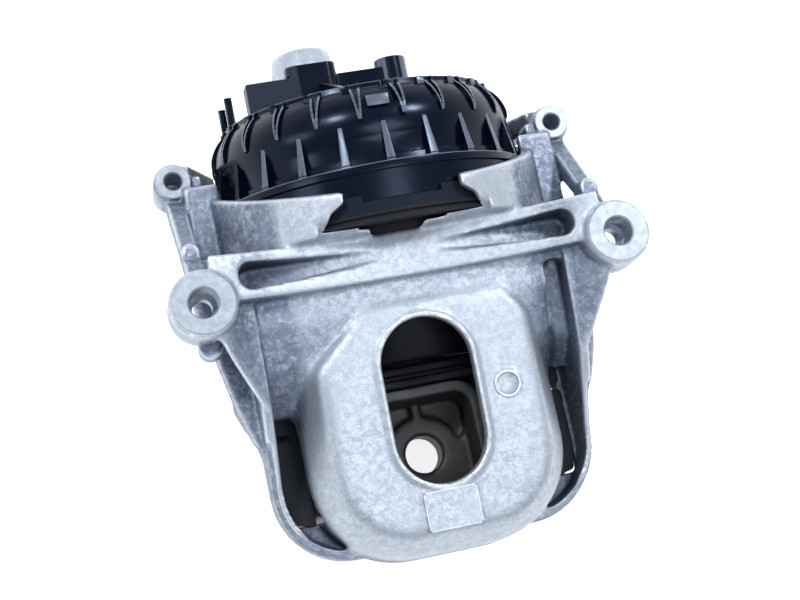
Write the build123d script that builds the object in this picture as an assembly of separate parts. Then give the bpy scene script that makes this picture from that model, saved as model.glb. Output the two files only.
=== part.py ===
"""Hydraulic engine mount: a die-cast housing with four bolting eyes, a rubber-sprung core and a fluid chamber
closed by a ribbed plastic cap.

Millimetres, +Z up. The origin lies midway between the machined faces of the two main eyes.
+X runs from the left eye to the right one, +Y towards the plastic cap, and the part lies on its rear side.
"""

import math
import os

from build123d import *

os.makedirs("parts", exist_ok=True)

# Overall stance
rest_z = -126.0
fit_gap = 0.3
reach = 300.0

# Main eyes
eye_half_spacing = 72.0
eye_face_r = 10.6
eye_body_r = 11.5
eye_face_step = 1.6
eye_height = 16.0
eye_relief_r = 5.0
eye_relief_depth = 10.0
eye_thread_r = 3.5
eye_chamfer = 0.5
lobe_drop_y = 12.0
lobe_r = 4.2
lobe_front_z = -16.0
lobe_rear_z = -24.0

# Small eyes
small_eye_inset = 0.9
small_eye_x = eye_half_spacing - small_eye_inset
small_eye_y = 53.7
small_eye_z = -40.4
small_eye_r = 6.2
small_eye_body_r = 7.0
small_eye_step = 3.0
small_eye_height = 19.0
small_hole_r = 3.1
small_hole_depth = 15.0
small_hole_chamfer = 0.5
small_neck_length = 10.1
small_neck_width = 9.5
small_neck_front = 1.6
small_neck_rear = 12.6

# Front beam between the main eyes
beam_inset = 4.0
beam_half_length = eye_half_spacing - beam_inset
beam_bottom_y = -0.4
beam_top_y = 15.6
beam_middle_z = -11.6
beam_end_z = -3.4
beam_knee_inset = 12.0
beam_end_x = eye_half_spacing - beam_knee_inset
beam_rear_z = -22.0
pocket_end_gap = 1.9
pocket_inner_x = 8.0
pocket_low_y = 2.6
pocket_high_y = 12.4
pocket_inner_low_y = 6.4
pocket_inner_high_y = 9.8
pocket_outer_floor_z = -17.0
pocket_inner_floor_z = -11.3
pocket_outer_round = 4.0
pocket_inner_round = 1.5

# Recessed plate below the beam
plate_z = -14.6
plate_thickness = 5.0
plate_slope_y = -9.0
plate_bend_y = -25.0
plate_bend_z = -20.5
plate_end_y = -38.0
plate_end_z = -34.0

# Groove in the plate between bulge and right side wall
groove_inner_x = 47.6
groove_top_y = -2.5
groove_top_z = -21.0
groove_bend_y = -28.0
groove_bend_z = -27.5
groove_end_z = -40.0
groove_backing = 4.0
groove_round = 2.5

# Side walls and rim of the hood
wall_inner_x = 54.6
wall_outer_x = 58.2
rim_step_x = 56.6
rim_step_drop = 4.0
rim_step_y = -46.0
rim_round_x = 32.0
rim_round_y = -63.5
wall_top_y = 14.0
wall_foot_y = -22.0
wall_knee_y = -33.0
wall_knee_z = -96.0
wall_shin_y = -41.0
wall_shin_z = -68.0
rim_rear_y = -50.0
rim_rear_z = -52.0
channel_floor = 2.5
channel_ledge_y = -36.0

# Bulging front of the hood
bulge_tilt = 6.8
bulge_pivot_y = -45.0
bulge_front_z = -16.8
bulge_front_x = 37.6
bulge_front_bottom_y = -88.0
bulge_front_round = 25.0
bulge_middle_z = -34.0
bulge_middle_x = 46.0
bulge_middle_bottom_y = -93.6
bulge_middle_round = 32.5
bulge_rear_z = -54.0
bulge_rear_x = 46.5
bulge_rear_bottom_y = -93.9
bulge_rear_round = 33.5
bulge_wall = 4.2
bulge_trim_gap = 0.6
bulge_trim_z = -40.0
bulge_trim_top_y = -20.0
spring_room = 1.2
behind_plate_drop = 6.5
crown_y = -9.0
crown_rise = 8.0
left_crown_x = 18.0
left_shoulder_y = -27.0
right_crown_x = 30.0
right_shoulder_y = -19.0

# Window in the hood
window_x = -0.5
window_half_width = 15.9
window_top_y = -14.7
window_bottom_y = -71.9
window_lip_width = 1.8
window_lip_height = 1.2

# Label pad and date stamp seat, both plain
pad_x = -1.1
pad_width = 18.8
pad_top_y = -73.6
pad_bottom_y = -87.0
pad_height = 0.7
stamp_x = 26.0
stamp_y = -42.6
stamp_r = 4.4
stamp_depth = 0.4

# Gusset plates beside the hood, and the flange behind them
gusset_thickness = 4.6
gusset_eye_z = -0.644
gusset_slope_x = 0.7805
gusset_plane_z = gusset_eye_z - gusset_slope_x * eye_half_spacing
gusset_slope_y = 0.1463
flange_front_z = -33.0
flange_thickness = 6.5
bar_inner = 3.6
bar_outer = 3.0
bar_depth = 8.0
pin_mark_y = 20.0
pin_mark_z = -18.4
pin_mark_r = 3.4
pin_mark_height = 0.8

# Fluid chamber: its axis leans a little towards the front at the cap end
chamber_axis_z = -56.5
chamber_lean = 5.3
chamber_r = 57.6
collar_wall = 4.0
neck_r = 40.5
neck_wall = 4.0
neck_floor_s = 16.0
neck_bore_r = 43.0
collar_floor_s = 22.5
collar_floor_thickness = 6.0
collar_bottom_s = 0.0
collar_mid_s = 49.3
collar_top_slope = 0.278
cap_room_height = 53.5

# Cut-out in the front of the collar, and the ledge below it
cutout_nose_x = 20.4
cutout_nose_y = 24.6
cutout_corner_x = 27.0
cutout_corner_y = 18.2
cutout_sill_x = 13.0
cutout_sill_y = 17.2
cutout_tooth = 4.7
cutout_tooth_drop = 2.6
cutout_depth_z = -16.0
notch_x0 = -9.0
notch_x1 = 5.0
notch_side = 3.0
notch_y = 14.3
ledge_half_width = 30.0
ledge_foot_z = -9.5
ledge_slope = 0.46

# Side plates that carry the small eyes
ear_plate_inset = 2.6
ear_plate_outer_x = small_eye_x - ear_plate_inset
ear_plate_front_z = -38.0
ear_plate_thickness = 6.0
ear_plate_y0 = 10.0
ear_plate_y1 = 50.0
arm_rear_x = 56.0
arm_rear_z = -84.0
arm_y = 57.0
arm_rear_y = 60.5
arm_width = 8.0
arm_height = 8.5

# Rear leg of the casting
leg_x = -4.0
leg_z = -115.0
leg_r = 15.0
leg_top_r = 12.0
leg_top_y = 119.6
leg_cone_y = 102.0
leg_foot_y = 4.0
leg_dimple_r = 6.0
leg_dimple_depth = 1.2
leg_flank = 10.0

# Core
core_bore_y = -57.5
core_bore_r = 6.75
core_half_width = 21.0
core_top_y = -35.0
core_bottom_y = -77.0
core_front_z = -39.0
core_rear_z = -90.0
core_round = 9.0
core_wall = 4.0
core_floor_z = -54.0
core_web = 12.0
core_boss_r = 13.6
core_recess_depth = 3.5
core_neck_width = 3.4
core_socket_half_width = 15.0
core_bore_chamfer = 0.8
core_wing_x = 44.0
core_wing_top_y = -31.0
core_wing_bottom_y = -74.0
core_wing_front_z = -50.0
core_wing_rear_z = -82.0
core_wing_round = 6.0
stem_root_s = -36.0
stem_root_r = 18.0
stem_tip_r = 11.0
stem_tip_s = -8.0

# Rubber
spring_rubber_foot_s = -24.0
spring_rubber_foot_r = 28.0
spring_rubber_waist_s = 0.0
spring_rubber_waist_r = 34.0
spring_rubber_low_s = 4.0
spring_rubber_top_s = 17.5
spring_rubber_cover = 4.0
buffer_thickness = 8.2
buffer_top_y = -33.0
buffer_bottom_y = -74.0
buffer_front_z = -49.0
buffer_rear_z = -80.0
buffer_groove_y = -43.0
buffer_groove = 1.6
buffer_round = 4.0
snubber_half_width = 30.0
snubber_front_z = -39.0
snubber_rear_z = -80.0
snubber_height = 9.0
snubber_fold = 1.8
snubber_folds = 2

# Chamber stack, measured along the chamber axis
spring_ring_wall = 2.0
spring_ring_flange = 2.2
seal_inner_r = 41.0
lip_height = 2.9
lip_groove = 1.1
support_ring_height = 3.9
support_ring_width = 7.2
support_ear_height = 2.4
support_ear_thickness = 1.0
support_ear_start = 14.0
support_ear_end = 26.0
plate_r = 49.7
inner_plate_height = 3.2
outer_plate_height = 2.9
membrane_r = 25.0
membrane_height = 2.4
channel_r = 42.0
channel_width = 6.0
channel_depth = 1.6
port_r = 2.0
port_ring_r = 16.0
port_count = 8
bellows_edge = 1.8
bellows_wall = 2.0
bellows_rim_width = 5.5
bellows_rise = 9.0
clamp_height = 2.6
skirt_gap = 0.2
skirt_height = 9.7
skirt_wall = 3.0
flange_height = 2.8
flange_gap = 0.4
skirt_inset = 1.2
cap_step_inset = 2.6
cap_step_height = 2.5
cap_wall_inset = 3.6
cap_bulge_out = 1.2
cap_bulge_rise = 18.0
cap_shoulder_inset = 1.4
cap_shoulder_rise = 6.0
cap_wall = 2.6
cap_top_rise = 3.4
cap_rim_inset = 4.4
cap_rim_height = 1.8
cap_rim_width = 2.4
rib_count = 23
rib_turn = -1.5
rib_thickness = 1.5
rib_height = 14.5
rib_root = 0.6
shoulder_rib_reach = 4.0
shoulder_rib_height = 1.2
bracket_rib_height = 2.4
notch_box_width = 2.6
notch_box_height = 1.6

# Actuator in the cap, and its connector
actuator_r = 19.0
actuator_height = 14.0
actuator_seal = 1.6
actuator_pin_r = 3.0
actuator_pin_length = 9.0
connector_x0 = -38.0
connector_x1 = -18.0
connector_front_y = -1.0
connector_rear_y = 9.0
connector_height = 18.9
connector_wall = 1.6
connector_floor = 4.0
connector_side_x = -3.0
connector_side_height = 23.4
connector_side_round = 4.0
terminal_width = 1.6
terminal_thickness = 0.8
terminal_height = 10.0
terminal_pitch = 6.0
stub_x = 19.0
stub_y = 7.5
stub_r = 6.0
stub_hole_r = 3.6
stub_height = 22.6
stub_hole_depth = 14.0
low_wall_height = 19.1
low_wall_setback = 4.0
low_wall_thickness = 3.0
lug_width = 2.0
lug_height = 6.5
left_lug_x = 1.0
right_lug_x = 9.5
fin_rim_inset = 0.0
fin_width = 2.6
fin_low_height = 12.0
fin_height = 15.2
fin_thickness = 1.8
brace_x = -10.0

chamber = Plane(
    origin=(0, 0, chamber_axis_z),
    x_dir=(1, 0, 0),
    z_dir=(0, math.cos(math.radians(chamber_lean)), math.sin(math.radians(chamber_lean))),
)

# Stack heights that follow from the sizes above
seal_top_s = collar_floor_s + lip_height
support_top_s = seal_top_s + support_ring_height
inner_plate_top_s = seal_top_s + inner_plate_height
outer_plate_top_s = support_top_s + outer_plate_height
skirt_bottom_s = support_top_s + skirt_gap
flange_bottom_s = skirt_bottom_s + skirt_height
flange_top_s = flange_bottom_s + flange_height
cap_bulge_s = flange_top_s + cap_bulge_rise
cap_shoulder_s = cap_bulge_s + cap_shoulder_rise
cap_top_s = cap_shoulder_s + cap_top_rise
cap_rim_s = cap_top_s + cap_rim_height
stub_top_s = cap_top_s + stub_height

# Radii of the chamber stack and the cap, from the chamber's bore
collar_r = chamber_r + collar_wall
ring_outer_r = chamber_r - flange_gap
support_ring_inner_r = ring_outer_r - support_ring_width
flange_r = chamber_r - flange_gap
skirt_r = flange_r - skirt_inset
cap_step_r = flange_r - cap_step_inset
cap_wall_r = flange_r - cap_wall_inset
cap_bulge_r = cap_wall_r + cap_bulge_out
cap_shoulder_r = cap_bulge_r - cap_shoulder_inset
cap_rim_r = cap_shoulder_r - cap_rim_inset
fin_x = fin_rim_inset - cap_rim_r
skirt_bore_r = skirt_r - skirt_wall
stack_r = skirt_bore_r - fit_gap
bellows_edge_top_s = outer_plate_top_s + bellows_edge
clamp_top_s = bellows_edge_top_s + clamp_height
spring_ring_r = neck_r - fit_gap
spring_bore_r = spring_ring_r - spring_ring_wall
spring_ring_top_s = neck_floor_s + spring_ring_flange
inner_neck_r = neck_bore_r - fit_gap
cap_room_s = collar_floor_s + cap_room_height


def block(x0, x1, y0, y1, z0, z1):
    """Box between two corners."""
    middle = Location(((x0 + x1) / 2, (y0 + y1) / 2, (z0 + z1) / 2))
    return middle * Box(x1 - x0, y1 - y0, z1 - z0)


def rod(x, y, z0, z1, radius):
    """Upright cylinder."""
    return Location((x, y, (z0 + z1) / 2)) * Cylinder(radius, z1 - z0)


def cone(x, y, z0, z1, r0, r1):
    """Upright cone, r0 at z0."""
    return Location((x, y, (z0 + z1) / 2)) * Cone(r0, r1, z1 - z0)


def tray(x0, x1, y0, y1, z0, z1, corner_r):
    """Box with rounded upright edges."""
    outline = Location(((x0 + x1) / 2, (y0 + y1) / 2, z0)) * RectangleRounded(x1 - x0, y1 - y0, corner_r)
    return extrude(outline, amount=z1 - z0)


def both_sides(shape):
    """The shape and its mirror image across the middle plane."""
    return shape + mirror(shape, about=Plane.YZ)


def prism(points, z0, z1):
    """Outline in X and Y, extruded from z0 to z1."""
    face = make_face(Polyline(*[(x, y, z0) for x, y in points], close=True))
    return extrude(face, amount=z1 - z0, dir=(0, 0, 1))


def side_prism(points, x0, x1):
    """Outline of (y, z) points, extruded from x0 to x1."""
    face = make_face(Polyline(*[(x0, y, z) for y, z in points], close=True))
    return extrude(face, amount=x1 - x0, dir=(1, 0, 0))


def ground_prism(points, y0, y1):
    """Outline of (x, z) points, extruded from y0 to y1."""
    face = make_face(Polyline(*[(x, y0, z) for x, z in points], close=True))
    return extrude(face, amount=y1 - y0, dir=(0, 1, 0))


def turned(points):
    """Profile of (radius, s) points revolved about the local axis of the chamber."""
    face = make_face(Polyline(*[(r, 0, s) for r, s in points], close=True))
    return revolve(face, axis=Axis.Z)


def in_chamber(shape):
    """Moves a shape from the chamber's local frame to the part's frame."""
    return chamber.location * shape


def tube(outer_r, inner_r, s0, s1):
    """Ring in the chamber's local frame."""
    return turned([(inner_r, s0), (outer_r, s0), (outer_r, s1), (inner_r, s1)])


def radial_plate(points, angle, thickness):
    """Radial plate of (radius, s) points at an angle from the front, in the chamber's local frame."""
    face = make_face(Polyline(*[(r, -thickness / 2, s) for r, s in points], close=True))
    plate = extrude(face, amount=thickness, dir=(0, 1, 0))
    return Rotation(0, 0, angle - 90) * plate


def bridge(start, end, width, height):
    """Bar of rectangular section between two points, its height along Y."""
    start_point = Vector(*start)
    run = Vector(*end) - start_point
    section = Plane(origin=start_point, x_dir=(0, 1, 0), z_dir=run.normalized())
    return extrude(section * Rectangle(height, width), amount=run.length)


def tilt_bulge(shape):
    """Tilts a shape drawn level at z = 0 into the slanted front face of the bulge."""
    level = Location((0, -bulge_pivot_y, 0)) * shape
    return Location((0, bulge_pivot_y, bulge_front_z), (bulge_tilt, 0, 0)) * level


def bulge_outline(half_width, bottom_y, corner_r, rise, z):
    """Face of the hood's bulge at height z: slanted shoulders and round lower corners."""
    arc_x = half_width - corner_r
    arc_y = bottom_y + corner_r
    bend = corner_r * math.sin(math.radians(45))
    top_y = crown_y + rise
    right_y = right_shoulder_y + rise
    left_y = left_shoulder_y + rise
    edges = [
        Line((-left_crown_x, top_y, z), (right_crown_x, top_y, z)),
        Line((right_crown_x, top_y, z), (half_width, right_y, z)),
        Line((half_width, right_y, z), (half_width, arc_y, z)),
        ThreePointArc((half_width, arc_y, z), (arc_x + bend, arc_y - bend, z), (arc_x, bottom_y, z)),
        Line((arc_x, bottom_y, z), (-arc_x, bottom_y, z)),
        ThreePointArc((-arc_x, bottom_y, z), (-arc_x - bend, arc_y - bend, z), (-half_width, arc_y, z)),
        Line((-half_width, arc_y, z), (-half_width, left_y, z)),
        Line((-half_width, left_y, z), (-left_crown_x, top_y, z)),
    ]
    return make_face(Wire(edges))


def rim_outline(half_width, z):
    """Face inside the hood's U-shaped wall at height z."""
    radius = half_width - rim_round_x
    bottom_y = rim_round_y - radius
    bend = radius * math.sin(math.radians(45))
    edges = [
        Line((-half_width, wall_top_y, z), (half_width, wall_top_y, z)),
        Line((half_width, wall_top_y, z), (half_width, rim_round_y, z)),
        ThreePointArc(
            (half_width, rim_round_y, z),
            (rim_round_x + bend, rim_round_y - bend, z),
            (rim_round_x, bottom_y, z),
        ),
        Line((rim_round_x, bottom_y, z), (-rim_round_x, bottom_y, z)),
        ThreePointArc(
            (-rim_round_x, bottom_y, z),
            (-rim_round_x - bend, rim_round_y - bend, z),
            (-half_width, rim_round_y, z),
        ),
        Line((-half_width, rim_round_y, z), (-half_width, wall_top_y, z)),
    ]
    return make_face(Wire(edges))


def bulge_body(inset):
    """Solid of the bulge, inset by a wall thickness on all sides but the rear."""
    front = tilt_bulge(
        bulge_outline(
            bulge_front_x - inset, bulge_front_bottom_y + inset, bulge_front_round - inset, -inset, -inset
        )
    )
    middle = bulge_outline(
        bulge_middle_x - inset,
        bulge_middle_bottom_y + inset,
        bulge_middle_round - inset,
        crown_rise - inset,
        bulge_middle_z,
    )
    rear = bulge_outline(
        bulge_rear_x - inset,
        bulge_rear_bottom_y + inset,
        bulge_rear_round - inset,
        crown_rise - inset,
        bulge_rear_z,
    )
    return loft([middle, front], ruled=True) + loft([rear, middle], ruled=True)


def window_outline(half_width):
    """Obround of the hood's window, grown or shrunk about its own edge."""
    grow = half_width - window_half_width
    top = window_top_y + grow
    bottom = window_bottom_y - grow
    outline = SlotOverall(top - bottom, 2 * half_width, rotation=90)
    return Location((window_x, (top + bottom) / 2, 0)) * outline


def hood_walls():
    """U-shaped side wall and rim: its front edge falls away towards the bottom, its rear edge rises."""
    depth = rim_outline(wall_outer_x, rest_z)
    wall = extrude(depth, amount=-rest_z, dir=(0, 0, 1))
    hollow = extrude(rim_outline(wall_inner_x, rest_z - 1), amount=2 - rest_z, dir=(0, 0, 1))
    wall = wall - hollow
    upper_edge = [(wall_top_y + 1, -11.8), (-2.4, -12.0), (-28.0, -16.7), (-37.0, -19.5)]
    lower_edge = [(rim_step_y, -24.9), (-61.5, -35.0), (-80.0, -40.0), (rim_round_y - reach, -46.0)]
    above = [(wall_top_y + 1, 10.0), *upper_edge, *lower_edge, (rim_round_y - reach, 10.0)]
    wall = wall - side_prism(above, -reach, reach)
    step = extrude(rim_outline(rim_step_x, rest_z), amount=-rest_z, dir=(0, 0, 1))
    lowered = [(y, z - rim_step_drop) for y, z in lower_edge]
    outer_tier = [(rim_step_y, 10.0), *lowered, (rim_round_y - reach, 10.0)]
    wall = wall - (side_prism(outer_tier, -reach, reach) - step)
    behind = [
        (wall_foot_y, rest_z - 5),
        (wall_foot_y, rest_z),
        (wall_knee_y, wall_knee_z),
        (wall_shin_y, wall_shin_z),
        (rim_rear_y, rim_rear_z),
        (rim_round_y - reach, rim_rear_z),
        (rim_round_y - reach, rest_z - 5),
    ]
    return wall - side_prism(behind, -reach, reach)


def recessed_plate():
    """Plate between beam and bulge, scooped back into the side channels."""
    front = [
        (beam_bottom_y + 2, plate_z),
        (plate_slope_y, plate_z),
        (plate_bend_y, plate_bend_z),
        (plate_end_y, plate_end_z),
    ]
    rear = [(y, z - plate_thickness) for y, z in reversed(front)]
    return side_prism(front + rear, -wall_inner_x - 1, wall_inner_x + 1)


def groove_floor():
    """Points (y, z) of the groove's floor, from the beam down to the channel."""
    return [
        (groove_top_y, groove_top_z),
        (groove_bend_y, groove_bend_z),
        (plate_end_y, groove_end_z),
    ]


def groove_room():
    """Cutter for the groove between the bulge and the right side wall."""
    cutter = tray(
        groove_inner_x, wall_inner_x, plate_end_y - 9, groove_top_y, groove_end_z, 0.0, groove_round
    )
    above = [*groove_floor(), (plate_end_y - 9, groove_end_z), (plate_end_y - 9, 0.0), (groove_top_y, 0.0)]
    return cutter & side_prism(above, 0, reach)


def groove_wall():
    """Casting behind the groove."""
    front = [(groove_top_y + groove_backing, groove_top_z), *groove_floor()]
    rear = [(y, z - groove_backing) for y, z in reversed(front)]
    return side_prism(front + rear, bulge_middle_x - 1, wall_inner_x + 1)


def channel_floors():
    """Floor of the two side channels, open over the rubber buffers."""
    floor = extrude(rim_outline(wall_inner_x + 1, rim_rear_z), amount=channel_floor, dir=(0, 0, 1))
    inside = bulge_outline(
        bulge_rear_x - 1, bulge_rear_bottom_y + 1, bulge_rear_round - 1, crown_rise - 1, rim_rear_z - 1
    )
    floor = floor - extrude(inside, amount=channel_floor + 2, dir=(0, 0, 1))
    buffer_x = core_wing_x + buffer_thickness + fit_gap
    opening = block(-buffer_x, buffer_x, core_wing_bottom_y - bulge_trim_gap, reach, rim_rear_z - 1, 0.0)
    above = block(-reach, reach, channel_ledge_y, reach, rim_rear_z - 1, 0.0)
    return floor - opening - above


def beam_front(y0, y1, z_far, half_length):
    """Solid between the beam's curved front surface and a plane at z_far."""
    rise = (beam_end_z - beam_middle_z) / beam_end_x**2
    end_z = beam_middle_z + rise * half_length**2
    arc = ThreePointArc((-half_length, y0, end_z), (0, y0, beam_middle_z), (half_length, y0, end_z))
    edges = [
        arc,
        Line((half_length, y0, end_z), (half_length, y0, z_far)),
        Line((half_length, y0, z_far), (-half_length, y0, z_far)),
        Line((-half_length, y0, z_far), (-half_length, y0, end_z)),
    ]
    return extrude(make_face(Wire(edges)), amount=y1 - y0, dir=(0, 1, 0))


def beam_pocket():
    """Cutter for the beam's right pocket: deep at the eye, running out towards the middle."""
    outer_x = eye_half_spacing - eye_body_r - pocket_end_gap
    outline = [
        (outer_x, pocket_low_y),
        (outer_x, pocket_high_y),
        (pocket_inner_x, pocket_inner_high_y),
        (pocket_inner_x, pocket_inner_low_y),
    ]
    upright = prism(outline, -40, 20)
    upright = fillet(upright.edges().filter_by(Axis.Z).group_by(Axis.X)[0], pocket_inner_round)
    upright = fillet(upright.edges().filter_by(Axis.Z).group_by(Axis.X)[-1], pocket_outer_round)
    floor = [
        (pocket_inner_x - 1, pocket_inner_floor_z),
        (outer_x + 1, pocket_outer_floor_z),
        (outer_x + 1, 10.0),
        (pocket_inner_x - 1, 10.0),
    ]
    return upright & ground_prism(floor, pocket_low_y - 1, pocket_high_y + 1)


def collar():
    """Collar round the chamber: stepped bore, slanted top edge and the cut-out at its front."""
    floor_bottom = neck_floor_s - collar_floor_thickness
    ring = turned(
        [
            (neck_r, floor_bottom),
            (collar_r - neck_wall, floor_bottom),
            (collar_r - neck_wall, collar_bottom_s),
            (collar_r, collar_bottom_s),
            (collar_r, cap_room_s),
            (chamber_r, cap_room_s),
            (chamber_r, collar_floor_s),
            (neck_bore_r, collar_floor_s),
            (neck_bore_r, neck_floor_s),
            (neck_r, neck_floor_s),
        ]
    )
    neck = tube(neck_r + neck_wall, neck_r, collar_bottom_s, floor_bottom + 1)
    ring = in_chamber(ring + neck)
    slope = math.degrees(math.atan(collar_top_slope))
    half_space = Location((0, 0, reach / 2)) * Box(reach, reach, reach)
    top = Location((0, 0, collar_mid_s), (slope, 0, 0)) * half_space
    ring = ring - in_chamber(top)
    in_front = beam_front(-reach, beam_top_y, 60.0, beam_half_length)
    ring = ring - in_front
    ledge = [
        (beam_top_y - 0.1, ledge_foot_z),
        (beam_top_y + ledge_slope * 20, ledge_foot_z + 20),
        (beam_top_y + ledge_slope * 20, ledge_foot_z + 40),
        (beam_top_y - 0.1, ledge_foot_z + 40),
    ]
    ring = ring - side_prism(ledge, -ledge_half_width, ledge_half_width)
    outline = [
        (-cutout_nose_x, reach),
        (-cutout_nose_x, cutout_nose_y),
        (-cutout_nose_x - cutout_tooth, cutout_nose_y - cutout_tooth_drop),
        (-cutout_corner_x, cutout_corner_y),
        (-cutout_sill_x, cutout_sill_y),
        (notch_x0 - notch_side, cutout_sill_y),
        (notch_x0, notch_y),
        (notch_x1, notch_y),
        (notch_x1 + notch_side, cutout_sill_y),
        (cutout_sill_x, cutout_sill_y),
        (cutout_corner_x, cutout_corner_y),
        (cutout_nose_x + cutout_tooth, cutout_nose_y - cutout_tooth_drop),
        (cutout_nose_x, cutout_nose_y),
        (cutout_nose_x, reach),
    ]
    below_beam = block(-reach, reach, -reach, beam_bottom_y, plate_z - 1, reach)
    return ring - prism(outline, cutout_depth_z, 40.0) - below_beam


def main_eye():
    """Right main eye, without its bore."""
    eye = rod(eye_half_spacing, 0, -eye_height, -eye_face_step, eye_body_r)
    return eye + cone(eye_half_spacing, 0, -eye_face_step, 0, eye_body_r, eye_face_r)


def main_bore():
    """Stepped bore of the right main eye."""
    relief = rod(eye_half_spacing, 0, -eye_relief_depth, 1, eye_relief_r)
    lead = cone(eye_half_spacing, 0, -eye_chamfer, 0, eye_relief_r, eye_relief_r + eye_chamfer)
    shoulder = cone(
        eye_half_spacing, 0, -eye_relief_depth - 1.2, -eye_relief_depth, eye_thread_r, eye_relief_r
    )
    return relief + lead + shoulder + rod(eye_half_spacing, 0, -eye_height - 1, 0, eye_thread_r)


def small_eye():
    """Right small eye with its neck, side plate and arm."""
    top = small_eye_z - small_eye_step
    bottom = small_eye_z - small_eye_height
    eye = rod(small_eye_x, small_eye_y, bottom, top, small_eye_body_r)
    eye = eye + cone(small_eye_x, small_eye_y, top, small_eye_z, small_eye_body_r, small_eye_r)
    plate_rear = ear_plate_front_z - ear_plate_thickness
    plate = block(wall_inner_x, ear_plate_outer_x, ear_plate_y0, ear_plate_y1, plate_rear, ear_plate_front_z)
    neck = block(
        small_eye_x - small_neck_length,
        small_eye_x - 1,
        small_eye_y - small_neck_width,
        small_eye_y + 1,
        small_eye_z - small_neck_rear,
        small_eye_z - small_neck_front,
    )
    start = (small_eye_x - 3, arm_y, small_eye_z - 9)
    arm = bridge(start, (arm_rear_x, arm_rear_y, arm_rear_z), arm_width, arm_height)
    return eye + plate + neck + arm


def small_bore():
    """Blind hole of the right small eye."""
    bottom = small_eye_z - small_hole_depth
    hole = rod(small_eye_x, small_eye_y, bottom, small_eye_z + 1, small_hole_r)
    tip = cone(small_eye_x, small_eye_y, bottom - 1.8, bottom, 0.2, small_hole_r)
    mouth_r = small_hole_r + small_hole_chamfer
    mouth_z = small_eye_z - small_hole_chamfer
    mouth = cone(small_eye_x, small_eye_y, mouth_z, small_eye_z, small_hole_r, mouth_r)
    return hole + tip + mouth


def gusset():
    """Slanted plate from the right eye down to the side wall."""
    outline = [
        (wall_outer_x - 2.0, 3.0),
        (eye_half_spacing, 3.0),
        (eye_half_spacing, -9.0),
        (eye_half_spacing - 3.9, -12.4),
        (eye_half_spacing - 7.1, -19.7),
        (wall_outer_x + 2.7, -28.0),
        (wall_outer_x - 0.4, -34.0),
        (wall_outer_x - 2.0, -37.0),
    ]
    slab = prism(outline, -60.0, 20.0)
    above = []
    for x in (wall_outer_x - 9.0, eye_half_spacing + 9.0):
        for y in (-60.0, 20.0):
            above.append((x, y, gusset_plane_z + gusset_slope_x * x + gusset_slope_y * y))
    front = slant_solid(above, 60.0)
    behind = slant_solid([(x, y, z - gusset_thickness) for x, y, z in above], -60.0)
    return slab - front - behind


def slant_solid(corners, height):
    """Solid between a slanted four-cornered face and its copy moved along Z."""
    a, b, c, d = corners
    face = make_face(Polyline(a, b, d, c, close=True))
    return extrude(face, amount=abs(height), dir=(0, 0, 1 if height > 0 else -1))


def rear_flange():
    """Right flange behind the gusset, from the side wall out to the strip bar."""
    outline = [
        (wall_outer_x - 2.0, 22.0),
        (eye_half_spacing + 1.0, 22.0),
        (eye_half_spacing + 0.6, 0.0),
        (eye_half_spacing - 2.5, -10.0),
        (eye_half_spacing - 5.0, -23.0),
        (wall_outer_x + 6.8, -33.0),
        (wall_outer_x + 3.3, -44.0),
        (wall_outer_x - 0.2, -50.0),
        (wall_outer_x - 2.0, -52.0),
    ]
    return prism(outline, flange_front_z - flange_thickness, flange_front_z)


def strip_bar():
    """Right bar that slants back from the main eye to the small eye, with a round ejector mark."""
    end_y = small_eye_y - 3.7
    end_z = small_eye_z - 3.6
    front = [(2.0, -5.0), (12.0, -12.0), (pin_mark_y, pin_mark_z)]
    front += [(end_y - 4.0, end_z + 2.0), (end_y, end_z)]
    rear = [(end_y, end_z - bar_depth), (end_y - 10.0, end_z + 3.0 - bar_depth)]
    rear += [(pin_mark_y, pin_mark_z - bar_depth), (2.0, -15.5)]
    x0 = eye_half_spacing - bar_inner
    x1 = eye_half_spacing + bar_outer
    bar = side_prism([*front, *rear], x0, x1)
    mark_top = pin_mark_z + pin_mark_height
    mark = rod((x0 + x1) / 2, pin_mark_y + 1.5, pin_mark_z - 9.6, mark_top, pin_mark_r)
    return bar + mark


def leg():
    """Rear leg: a round column with a tapered end, joined to the back of the collar."""
    axis = Plane(origin=(leg_x, leg_foot_y, leg_z), x_dir=(1, 0, 0), z_dir=(0, 1, 0))
    length = leg_cone_y - leg_foot_y
    column = extrude(axis * Circle(leg_r), amount=length)
    end_plane = Plane(origin=(leg_x, leg_cone_y, leg_z), x_dir=(1, 0, 0), z_dir=(0, 1, 0))
    top_plane = end_plane.offset(leg_top_y - leg_cone_y)
    tip = loft([end_plane * Circle(leg_r), top_plane * Circle(leg_top_r)])
    flank = [
        (leg_x - leg_r - leg_flank, -104.0),
        (leg_x + leg_r + leg_flank, -104.0),
        (leg_x + leg_r - 2, rest_z),
        (leg_x - leg_r + 2, rest_z),
    ]
    web = ground_prism(flank, leg_foot_y, 62.0)
    dimple = extrude(top_plane * Circle(leg_dimple_r), amount=-leg_dimple_depth)
    below = block(-reach, reach, -reach, reach, rest_z - 40, rest_z)
    return column + tip + web - dimple - below


def chamber_room():
    """Cutter for the chamber: room for the rubber, the neck, the seat of the seal and the wide bore."""
    waist_room_r = spring_rubber_waist_r + spring_room
    cutter = turned(
        [
            (0, spring_rubber_waist_s - 1),
            (waist_room_r, spring_rubber_waist_s - 1),
            (waist_room_r, spring_rubber_waist_s),
            (spring_bore_r + fit_gap, spring_rubber_low_s),
            (neck_r, spring_rubber_low_s),
            (neck_r, neck_floor_s),
            (neck_bore_r, neck_floor_s),
            (neck_bore_r, collar_floor_s),
            (chamber_r, collar_floor_s),
            (chamber_r, cap_room_s),
            (0, cap_room_s),
        ]
    )
    return in_chamber(cutter)


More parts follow.
